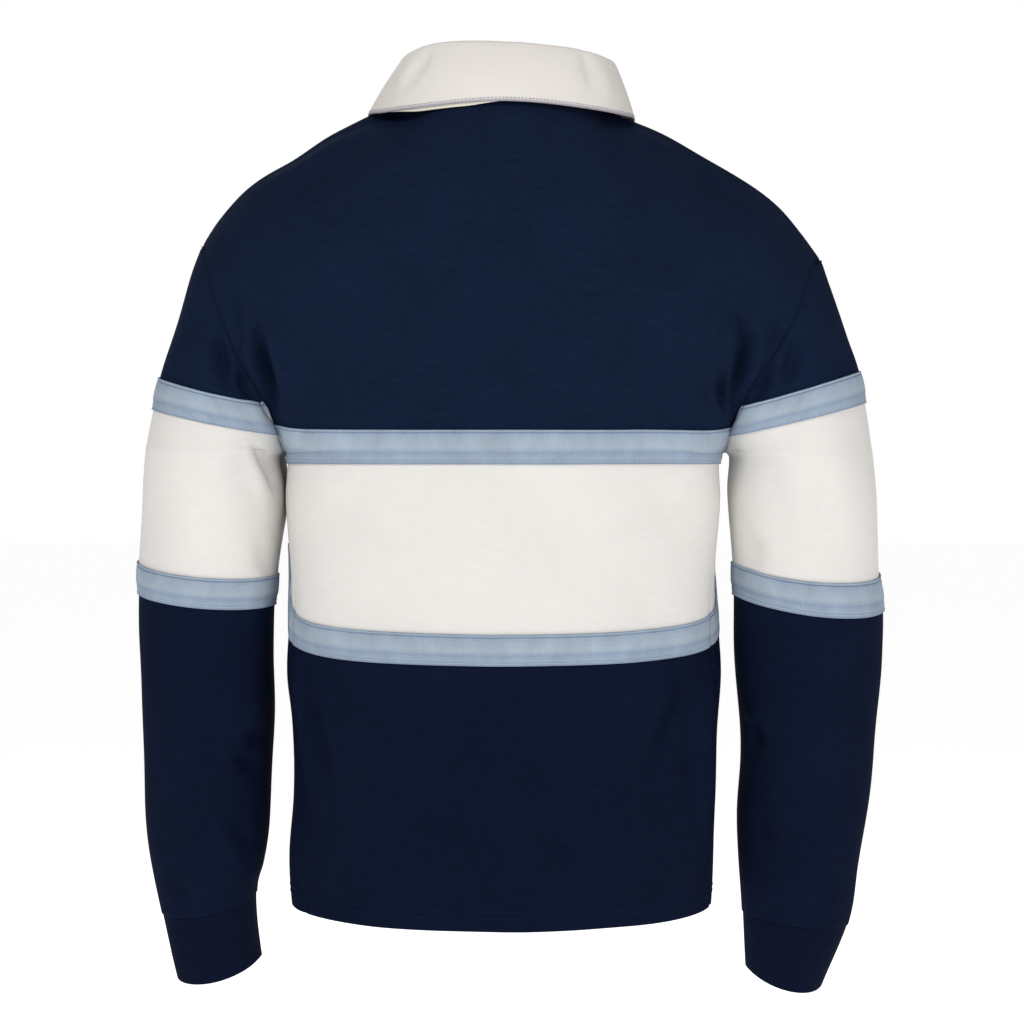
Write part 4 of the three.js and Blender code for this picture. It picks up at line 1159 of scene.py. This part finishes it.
# A line through control points, smooth at each of them
def smoothLine(points, fine):
    points = np.asarray(points, float)
    padded = np.vstack([2 * points[0] - points[1], points, 2 * points[-1] - points[-2]])
    line = []
    for i in range(1, len(padded) - 2):
        a, b, c, d = padded[i - 1:i + 3]
        for share in np.arange(fine) / fine:
            line.append(0.5 * (2 * b + (c - a) * share + (2 * a - 5 * b + 4 * c - d) * share ** 2
                               + (3 * b - a - 3 * c + d) * share ** 3))
    line.append(points[-1])
    return np.array(line)


def collarProfile(shape, at):
    stand, lean = shape["stand"](at), shape["lean"](at)
    line = [(0, collar["lift"], 0), (lean * standBend["out"], stand * standBend["up"], 0)]
    line += [(lean + spot["out"], stand - spot["down"], 0) for spot in collarFold]
    startOut, startUp = line[-1][0], line[-1][1]
    for i in range(1, collar["leafSteps"] + 1):
        share = i / collar["leafSteps"]
        belly = shape["belly"](at) * math.sin(math.pi * share)
        out = mix(startOut, shape["out"](at), share) + belly
        up = mix(startUp, -shape["fall"](at), share) + belly * collar["bellyRise"]
        line.append((out, up, shape["slide"](at) * share))
    return smoothLine(line, collar["fine"])


def gridNormals(points):
    alongRow = np.gradient(points, axis=1)
    alongColumn = np.gradient(points, axis=0)
    normals = np.cross(alongColumn, alongRow)
    return normals / np.maximum(np.linalg.norm(normals, axis=2), tiny)[:, :, None]


# A closed wall between two sheets of points of the same size
def addSheetWall(name, outer, inner, material, bulge, deep=None):
    rows, columns = outer.shape[:2]
    ring = [(0, c) for c in range(columns)] + [(r, columns - 1) for r in range(1, rows)]
    ring += [(rows - 1, c) for c in range(columns - 2, -1, -1)] + [(r, 0) for r in range(rows - 2, 0, -1)]
    middles = []
    for r, c in ring:
        inside = outer[min(max(r, 1), rows - 2), min(max(c, 1), columns - 2)]
        away = outer[r, c] - inside
        away = away / max(np.linalg.norm(away), tiny)
        middles.append((outer[r, c] + inner[r, c]) / 2 + away * bulge)
    count = rows * columns
    down = np.repeat(lengthsAlong(outer[:, columns // 2])[:, None], columns, axis=1)
    across = np.repeat(lengthsAlong(outer[rows // 2])[None, :], rows, axis=0)
    if deep:
        across *= deep / across[0, -1]

    def spot(r, c):
        return float(across[r, c]), float(down[r, c])

    faces, uvs = [], []
    for r in range(rows - 1):
        for c in range(columns - 1):
            cells = [(r, c), (r, c + 1), (r + 1, c + 1), (r + 1, c)]
            faces.append([i * columns + j for i, j in cells])
            uvs += [spot(i, j) for i, j in cells]
            faces.append([count + i * columns + j for i, j in reversed(cells)])
            uvs += [spot(i, j) for i, j in reversed(cells)]
    for n, (r, c) in enumerate(ring):
        nextN = (n + 1) % len(ring)
        i, j = ring[nextN]
        a, b = r * columns + c, i * columns + j
        faces.append([b, a, 2 * count + n, 2 * count + nextN])
        faces.append([2 * count + nextN, 2 * count + n, count + a, count + b])
        uvs += [spot(i, j), spot(r, c), spot(r, c), spot(i, j)] * 2
    points = np.vstack([outer.reshape(-1, 3), inner.reshape(-1, 3), np.array(middles)])
    return addMesh(name, points, faces, material, uvs)


def addCollar():
    left, right = curves(collarLeft, "at"), curves(collarRight, "at")
    sheet = []
    step = collar["look"]
    for i in range(-collar["steps"], collar["steps"] + 1):
        sign = -1 if i < 0 else 1
        at = collar["end"] * abs(i) / collar["steps"]
        foot = neckPoint(sign, at)
        ahead = neckPoint(sign, min(at + step, 1))
        behind = neckPoint(sign, at - step) if at > step else neckPoint(-sign, step - at)
        along = (ahead - behind) * (1, 1, 0)
        along /= np.linalg.norm(along)
        out = np.array([along[1], -along[0], 0]) * -sign
        profile = collarProfile(right if sign < 0 else left, at)
        sheet.append(foot * (1, 1, 0) + profile[:, :1] * out - profile[:, 2:] * along
                     + np.stack([0 * profile[:, 1], 0 * profile[:, 1], foot[2] + profile[:, 1]], axis=1))
    sheet = np.array(sheet)
    normals = gridNormals(sheet)
    flat = sheet.reshape(-1, 3)
    height = waveHeight(flat) * collar["waves"]
    for crease in collarCreases:
        near = crease["face"] * flat[:, 1] > collar["clear"]
        height[near] += creaseHeight(flat[near][:, [0, 2]], crease)
    lengths = np.array([lengthsAlong(row) for row in sheet])
    leafEdge = lengths[:, -1:] - lengths
    onLeaf = np.arange(sheet.shape[1]) > 2 * collar["fine"]
    lifted = height.reshape(sheet.shape[:2]) * onLeaf[None, :]
    away = (leafEdge - collarStitch["inside"]) / collarStitch["wide"]
    groove = collarStitch["dip"] * np.exp(-(away ** 2))
    middle = sheet + normals * lifted[:, :, None]
    outer = middle + normals * (collar["wall"] / 2 - groove)[:, :, None]
    inner = middle - normals * (collar["wall"] / 2)
    piece = addSheetWall("collar_cloth", outer[::-1], inner[::-1], materials["collarTwill"], collar["bulge"],
                         collar["deep"])
    keepPiece(piece, "collar")
    return outer, leafEdge, normals


# The under layer of the leaf shows as a thin pale sliver below its edge, left of the middle
sliver = {"from": -0.03, "to": 0.43, "peek": 2.6, "tuck": 9, "gap": 0.4, "thick": 0.8, "steps": 4,
          "taper": 0.35, "hide": 0.3, "bulge": 0.2}


def addSliver():
    middle = collar["steps"]
    ends = [middle + round(sliver[end] / collar["end"] * middle) for end in ("from", "to")]
    outer, inner = [], []
    for i in range(ends[0], ends[1] + 1):
        share = (i - ends[0]) / (ends[1] - ends[0])
        edge, normal = collarOuter[i, -1], collarNormals[i, -1]
        way = edge - collarOuter[i, -3]
        way /= np.linalg.norm(way)
        shown = ease(clamp(min(share / sliver["taper"], (1 - share) / sliver["taper"])))
        low = edge + way * sliver["peek"] * ((1 + sliver["hide"]) * shown - sliver["hide"])
        line = [low - way * (sliver["tuck"] * step / sliver["steps"]) for step in range(sliver["steps"] + 1)]
        depth = collar["wall"] + sliver["gap"]
        outer.append([point - normal * depth for point in line])
        inner.append([point - normal * (depth + sliver["thick"]) for point in line])
    outer, inner = np.array(outer), np.array(inner)
    piece = addSheetWall("collar_under_cloth", outer, inner, materials["plainTwill"], sliver["bulge"])
    keepPiece(piece)


collarOuter, collarEdge, collarNormals = addCollar()
addSliver()
print("collar made")

# Placket strip and buttons at the middle of the front
placket = {"half": 16, "top": 0.014, "end": 0.53, "thick": 1.5, "lift": 0.7, "rows": 44, "columns": 12,
           "stitchIn": 2.5, "crown": 0.35, "dip": 0.3, "dipWide": 1.6, "bulge": 0.4, "look": 0.01}
button = {"radius": 7, "thick": 3.4, "rim": 0.7, "sides": 48, "rows": (0.08, 0.25, 0.39), "gap": 0.6,
          "hub": 0.01, "bowl": ((2.2, 0.1), (3, 0.64), (3.8, 0.8)), "bends": 5, "firstBend": 0.3}


# The middle line of the front, with the way out of it
def frontMiddle(row):
    middle = np.array([0.0])
    point = yokeLine(sides["left"], -1, middle, row)[0]
    along = yokeLine(sides["left"], -1, middle, row + placket["look"])[0] - point
    along /= np.linalg.norm(along)
    return point, along, np.array([0, along[2], -along[1]])


def addPlacket():
    under = stripOf("front", 0, bodyMarks["upperSeam"])
    rows = np.array(under["grid"]["rows"])[:under["keep"].shape[0]]
    columns = (bodyColumns[:-1] + bodyColumns[1:]) / 2
    inSlit = (rows[:, None] < slit["end"]) & (np.abs(columns)[None, :] < slit["share"])
    lastRow = int(inSlit.any(axis=1).sum())
    first, last = np.flatnonzero(inSlit[0])[[0, -1]]
    ids = under["ids"][:lastRow + 1, first:last + 2]
    keep = np.ones((ids.shape[0] - 1, ids.shape[1] - 1), bool)
    piece = addWall("placket_under_cloth", ids, keep, True, 0.0, -placket["thick"],
                    under["across"][first:last + 2], under["down"][:lastRow + 1], 0.0,
                    materials["placketTwill"])
    keepPiece(piece, "placket_under")
    outer, inner = [], []
    for row in np.linspace(placket["top"], placket["end"], placket["rows"]):
        point, _, out = frontMiddle(row)
        xs = np.linspace(-placket["half"], placket["half"], placket["columns"] + 1)
        line = np.repeat(point[None, :], len(xs), axis=0) * (0, 1, 1)
        line[:, 0] = xs
        away = np.abs(np.abs(xs) - placket["half"] + placket["stitchIn"])
        crown = placket["crown"] * (1 - (xs / placket["half"]) ** 2)
        crown -= placket["dip"] * np.exp(-((away / placket["dipWide"]) ** 2))
        outer.append(line + out * (placket["lift"] + placket["thick"] + crown)[:, None])
        inner.append(line + out * placket["lift"])
    outer, inner = np.array(outer), np.array(inner)
    piece = addSheetWall("placket_over_cloth", outer[:, ::-1], inner[:, ::-1], materials["placketTwill"],
                         placket["bulge"])
    keepPiece(piece, "placket_over")
    return outer


rubberFinish = {"color": (214, 209, 200), "contrast": 0.05, "cloudScale": 260, "speckScale": 1500,
                "roughness": 0.4, "roughSpread": 0.2, "bump": 0.15, "relief": 0.0001, "specular": 0.4}


def makeRubber():
    finish = rubberFinish
    material = bpy.data.materials.new("buttonRubber")
    material.use_nodes = True
    tree = material.node_tree
    shader = tree.nodes["Principled BSDF"]
    place = tree.nodes.new("ShaderNodeTexCoord")
    cloud = noiseNode(tree, place.outputs["Object"], finish["cloudScale"], 4)
    speck = noiseNode(tree, place.outputs["Object"], finish["speckScale"], 2)
    deep = shaded(finish["color"], 1 - finish["contrast"])
    pale = shaded(finish["color"], 1 + finish["contrast"])
    tree.links.new(mixColor(tree, cloud, deep, pale), shader.inputs["Base Color"])
    rough = mathNode(tree, "MULTIPLY_ADD", speck, finish["roughSpread"], finish["roughness"])
    tree.links.new(rough, shader.inputs["Roughness"])
    bump = tree.nodes.new("ShaderNodeBump")
    bump.inputs["Strength"].default_value = finish["bump"]
    bump.inputs["Distance"].default_value = finish["relief"]
    tree.links.new(speck, bump.inputs["Height"])
    tree.links.new(bump.outputs["Normal"], shader.inputs["Normal"])
    shader.inputs["Specular IOR Level"].default_value = finish["specular"]
    return material


def addButton(index, row, material):
    radius, rim, thick, hub = button["radius"], button["rim"], button["thick"], button["hub"]
    inner = radius - rim
    lowTurns = np.linspace(button["firstBend"], math.pi / 2, button["bends"])
    highTurns = np.linspace(0, math.pi / 2, button["bends"])
    profile = [(hub, 0), (inner, 0)]
    profile += [(inner + rim * math.sin(turn), rim - rim * math.cos(turn)) for turn in lowTurns]
    profile += [(inner + rim * math.cos(turn), thick - rim + rim * math.sin(turn)) for turn in highTurns]
    profile += [(radius - rim * inward, thick - down) for inward, down in button["bowl"]]
    profile += [(hub, profile[-1][1])]
    point, along, out = frontMiddle(row)
    base = point + out * (placket["lift"] + placket["thick"] + button["gap"])
    sideWay = np.cross(along, out)
    count = button["sides"]
    points, faces = [], []
    for distance, height in profile:
        for n in range(count):
            turn = 2 * math.pi * n / count
            away = sideWay * math.cos(turn) + along * math.sin(turn)
            points.append(base + out * height + away * distance)
    for ring in range(len(profile) - 1):
        for n in range(count):
            a, b = ring * count + n, ring * count + (n + 1) % count
            faces.append([a, a + count, b + count, b])
    faces.append(list(range(count)))
    faces.append([(len(profile) - 1) * count + n for n in reversed(range(count))])
    piece = addMesh(f"button_{index}_rubber", points, faces, material)
    keepPiece(piece, f"button_{index}")


placketOuter = addPlacket()
rubber = makeRubber()
for index, row in enumerate(button["rows"], 1):
    addButton(index, row, rubber)
print("placket and buttons made")

# Rows of stitches: each is a small rounded grain of thread, set along a path
stitch = {"pitch": 3.2, "long": 2.3, "thick": 0.8, "seed": 3, "uneven": 0.1, "sides": 6, "rings": 4,
          "inside": 2.3, "onTape": 1.2,
          "hemRows": (-17, -11), "onHem": 0.12, "onCollar": 0.3}


def makeStitchTree():
    tree = bpy.data.node_groups.new("stitchRow", "GeometryNodeTree")
    tree.interface.new_socket("Path", in_out="INPUT", socket_type="NodeSocketGeometry")
    for label in ("Pitch", "Long", "Thick", "Uneven"):
        tree.interface.new_socket(label, in_out="INPUT", socket_type="NodeSocketFloat")
    tree.interface.new_socket("Seed", in_out="INPUT", socket_type="NodeSocketInt")
    tree.interface.new_socket("Thread", in_out="INPUT", socket_type="NodeSocketMaterial")
    tree.interface.new_socket("Stitches", in_out="OUTPUT", socket_type="NodeSocketGeometry")
    given, result = tree.nodes.new("NodeGroupInput"), tree.nodes.new("NodeGroupOutput")
    toCurve = tree.nodes.new("GeometryNodeMeshToCurve")
    resample = tree.nodes.new("GeometryNodeResampleCurve")
    resample.mode = "LENGTH"
    tangent = tree.nodes.new("GeometryNodeInputTangent")
    align = tree.nodes.new("FunctionNodeAlignRotationToVector")
    align.axis = "Z"
    grain = tree.nodes.new("GeometryNodeMeshUVSphere")
    grain.inputs["Segments"].default_value = stitch["sides"]
    grain.inputs["Rings"].default_value = stitch["rings"]
    grain.inputs["Radius"].default_value = 0.5
    size = tree.nodes.new("ShaderNodeCombineXYZ")
    spread = tree.nodes.new("FunctionNodeRandomValue")
    most = tree.nodes.new("ShaderNodeMath")
    most.inputs[0].default_value = 1
    least = tree.nodes.new("ShaderNodeMath")
    least.operation = "SUBTRACT"
    least.inputs[0].default_value = 1
    varied = tree.nodes.new("ShaderNodeVectorMath")
    varied.operation = "SCALE"
    place = tree.nodes.new("GeometryNodeInstanceOnPoints")
    smooth = tree.nodes.new("GeometryNodeSetShadeSmooth")
    real = tree.nodes.new("GeometryNodeRealizeInstances")
    paint = tree.nodes.new("GeometryNodeSetMaterial")
    link = tree.links.new
    link(given.outputs["Path"], toCurve.inputs["Mesh"])
    link(toCurve.outputs["Curve"], resample.inputs["Curve"])
    link(given.outputs["Pitch"], resample.inputs["Length"])
    link(tangent.outputs[0], align.inputs["Vector"])
    link(given.outputs["Thick"], size.inputs["X"])
    link(given.outputs["Thick"], size.inputs["Y"])
    link(given.outputs["Long"], size.inputs["Z"])
    link(given.outputs["Uneven"], most.inputs[1])
    link(given.outputs["Uneven"], least.inputs[1])
    link(least.outputs[0], spread.inputs[2])
    link(most.outputs[0], spread.inputs[3])
    link(given.outputs["Seed"], spread.inputs["Seed"])
    link(size.outputs[0], varied.inputs[0])
    link(spread.outputs[1], varied.inputs["Scale"])
    link(resample.outputs["Curve"], place.inputs["Points"])
    link(grain.outputs["Mesh"], place.inputs["Instance"])
    link(align.outputs["Rotation"], place.inputs["Rotation"])
    link(varied.outputs[0], place.inputs["Scale"])
    link(place.outputs["Instances"], real.inputs["Geometry"])
    link(real.outputs["Geometry"], smooth.inputs["Geometry"])
    link(smooth.outputs["Geometry"], paint.inputs["Geometry"])
    link(given.outputs["Thread"], paint.inputs["Material"])
    link(paint.outputs["Geometry"], result.inputs["Stitches"])
    return tree


stitchTree = makeStitchTree()


def addStitches(name, paths, material):
    points, edges = [], []
    for path in paths:
        start = len(points)
        points += (np.asarray(path) * mm).tolist()
        edges += [(start + i, start + i + 1) for i in range(len(path) - 1)]
    mesh = bpy.data.meshes.new(name)
    mesh.from_pydata(points, edges, [])
    piece = bpy.data.objects.new(name, mesh)
    bpy.context.scene.collection.objects.link(piece)
    modifier = piece.modifiers.new("stitches", "NODES")
    modifier.node_group = stitchTree
    values = {"Pitch": stitch["pitch"] * mm, "Long": stitch["long"] * mm, "Thick": stitch["thick"] * mm,
              "Uneven": stitch["uneven"], "Seed": stitch["seed"], "Thread": material}
    for item in stitchTree.interface.items_tree:
        if item.in_out == "INPUT" and item.name in values:
            modifier[item.identifier] = values[item.name]
    evaluated = piece.evaluated_get(bpy.context.evaluated_depsgraph_get())
    made = bpy.data.meshes.new_from_object(evaluated)
    piece.modifiers.clear()
    piece.data = made
    return keepPiece(piece)


# A path on the skin, a height above it, along the grid row nearest to a place between two marks
def rowPath(part, start, end, away, height):
    strip = stripOf(part, start, end)
    down = strip["down"] - strip["down"][0]
    wanted = away if away >= 0 else down[-1] + away
    row = int(np.argmin(np.abs(down - wanted)))
    ids = strip["ids"][row]
    return skin["points"][ids] + skin["normals"][ids] * height


def addAllStitches():
    inside = stitch["inside"]
    for part in ("back", "front", "left", "right"):
        marks = sleeveMarks if part in sides else bodyMarks
        tapes = ((marks["tapeTop"], marks["tapeEnd"]), (marks["lowTapeTop"], marks["lowTapeEnd"]))
        # The top row uses the darkened thread, painted shade; the bottom row uses the plain tape thread
        for label, away, name in (("top", inside, "threadInPaintedShade"), ("bottom", -inside, "tapeThread")):
            paths = [rowPath(part, *ends, away, stitch["onTape"]) for ends in tapes]
            addStitches(f"tape_{label}_stitches_{part}", paths, materials[name])
    for part in ("back", "front"):
        paths = [rowPath(part, bodyMarks["lowerSeam"], bodyMarks["hem"], away, stitch["onHem"])
                 for away in stitch["hemRows"]]
        addStitches(f"hem_stitches_{part}", paths, materials["navyThread"])
    nearest = np.argmin(np.abs(collarEdge - collarStitch["inside"]), axis=1)
    path = [collarOuter[i, j] + collarNormals[i, j] * stitch["onCollar"] for i, j in enumerate(nearest)]
    addStitches("collar_stitches", [np.array(path)[2:-2]], materials["collarThread"])
    edge = [placketOuter[:, 1], placketOuter[:, -2]]
    addStitches("placket_stitches", [line[1:-1] for line in edge], materials["collarThread"])


addAllStitches()
print("stitches made")


# Plain pale floor, wide and level, with soft studio light
studio = {"floorZ": -1.0, "half": 60.0, "paper": 0.95, "glow": 0.74, "ambient": 0.25}
lamps = table(
    "name place aim size power",
    ("key", (1.05, 2.3, 1.5), (0, 0, -0.35), (0.9, 0.9), 31),
    ("fill", (-1.7, 2.2, 0.1), (0, 0, -0.4), (1.6, 1.6), 16),
    ("top", (0, 0.3, 2.0), (0, 0, -0.3), (1.6, 1.2), 6),
    ("frontFill", (0.4, -2.2, 0.9), (0, 0, -0.35), (1.6, 1.6), 18),
)


def addFloor():
    half, low = studio["half"], studio["floorZ"]
    mesh = bpy.data.meshes.new("floor")
    corners = [(x * half, y * half, low) for x, y in ((-1, -1), (1, -1), (1, 1), (-1, 1))]
    mesh.from_pydata(corners, [], [[0, 1, 2, 3]])
    floor = bpy.data.objects.new("floor", mesh)
    bpy.context.scene.collection.objects.link(floor)
    material = bpy.data.materials.new("floorPaper")
    material.use_nodes = True
    tree = material.node_tree
    shader = tree.nodes["Principled BSDF"]
    shader.inputs["Base Color"].default_value = (*[studio["paper"]] * 3, 1)
    shader.inputs["Roughness"].default_value = studio["paper"]
    shader.inputs["Emission Color"].default_value = (1, 1, 1, 1)
    shader.inputs["Emission Strength"].default_value = studio["glow"]
    mesh.materials.append(material)


def addLight(name, place, aim, size, power):
    data = bpy.data.lights.new(name, "AREA")
    data.shape = "RECTANGLE"
    data.size, data.size_y = size
    data.energy = power
    light = bpy.data.objects.new(name, data)
    light.location = place
    way = np.array(aim, float) - np.array(place, float)
    yaw = math.atan2(way[1], way[0]) - math.pi / 2
    pitch = math.atan2(way[2], math.hypot(way[0], way[1])) + math.pi / 2
    light.rotation_euler = (pitch, 0, yaw)
    light.visible_camera = False
    bpy.context.scene.collection.objects.link(light)


def addStudio():
    addFloor()
    for lamp in lamps:
        addLight(**lamp)
    world = bpy.data.worlds.new("studio")
    world.use_nodes = True
    tree = world.node_tree
    soft = tree.nodes["Background"]
    soft.inputs["Color"].default_value = (1, 1, 1, 1)
    soft.inputs["Strength"].default_value = studio["ambient"]
    backdrop = tree.nodes.new("ShaderNodeBackground")
    backdrop.inputs["Color"].default_value = (1, 1, 1, 1)
    rays = tree.nodes.new("ShaderNodeLightPath")
    both = tree.nodes.new("ShaderNodeMixShader")
    tree.links.new(rays.outputs["Is Camera Ray"], both.inputs["Fac"])
    tree.links.new(soft.outputs[0], both.inputs[1])
    tree.links.new(backdrop.outputs[0], both.inputs[2])
    tree.links.new(both.outputs[0], tree.nodes["World Output"].inputs["Surface"])
    bpy.context.scene.world = world
    bpy.context.scene.view_settings.view_transform = "Standard"


addStudio()
print("studio made")
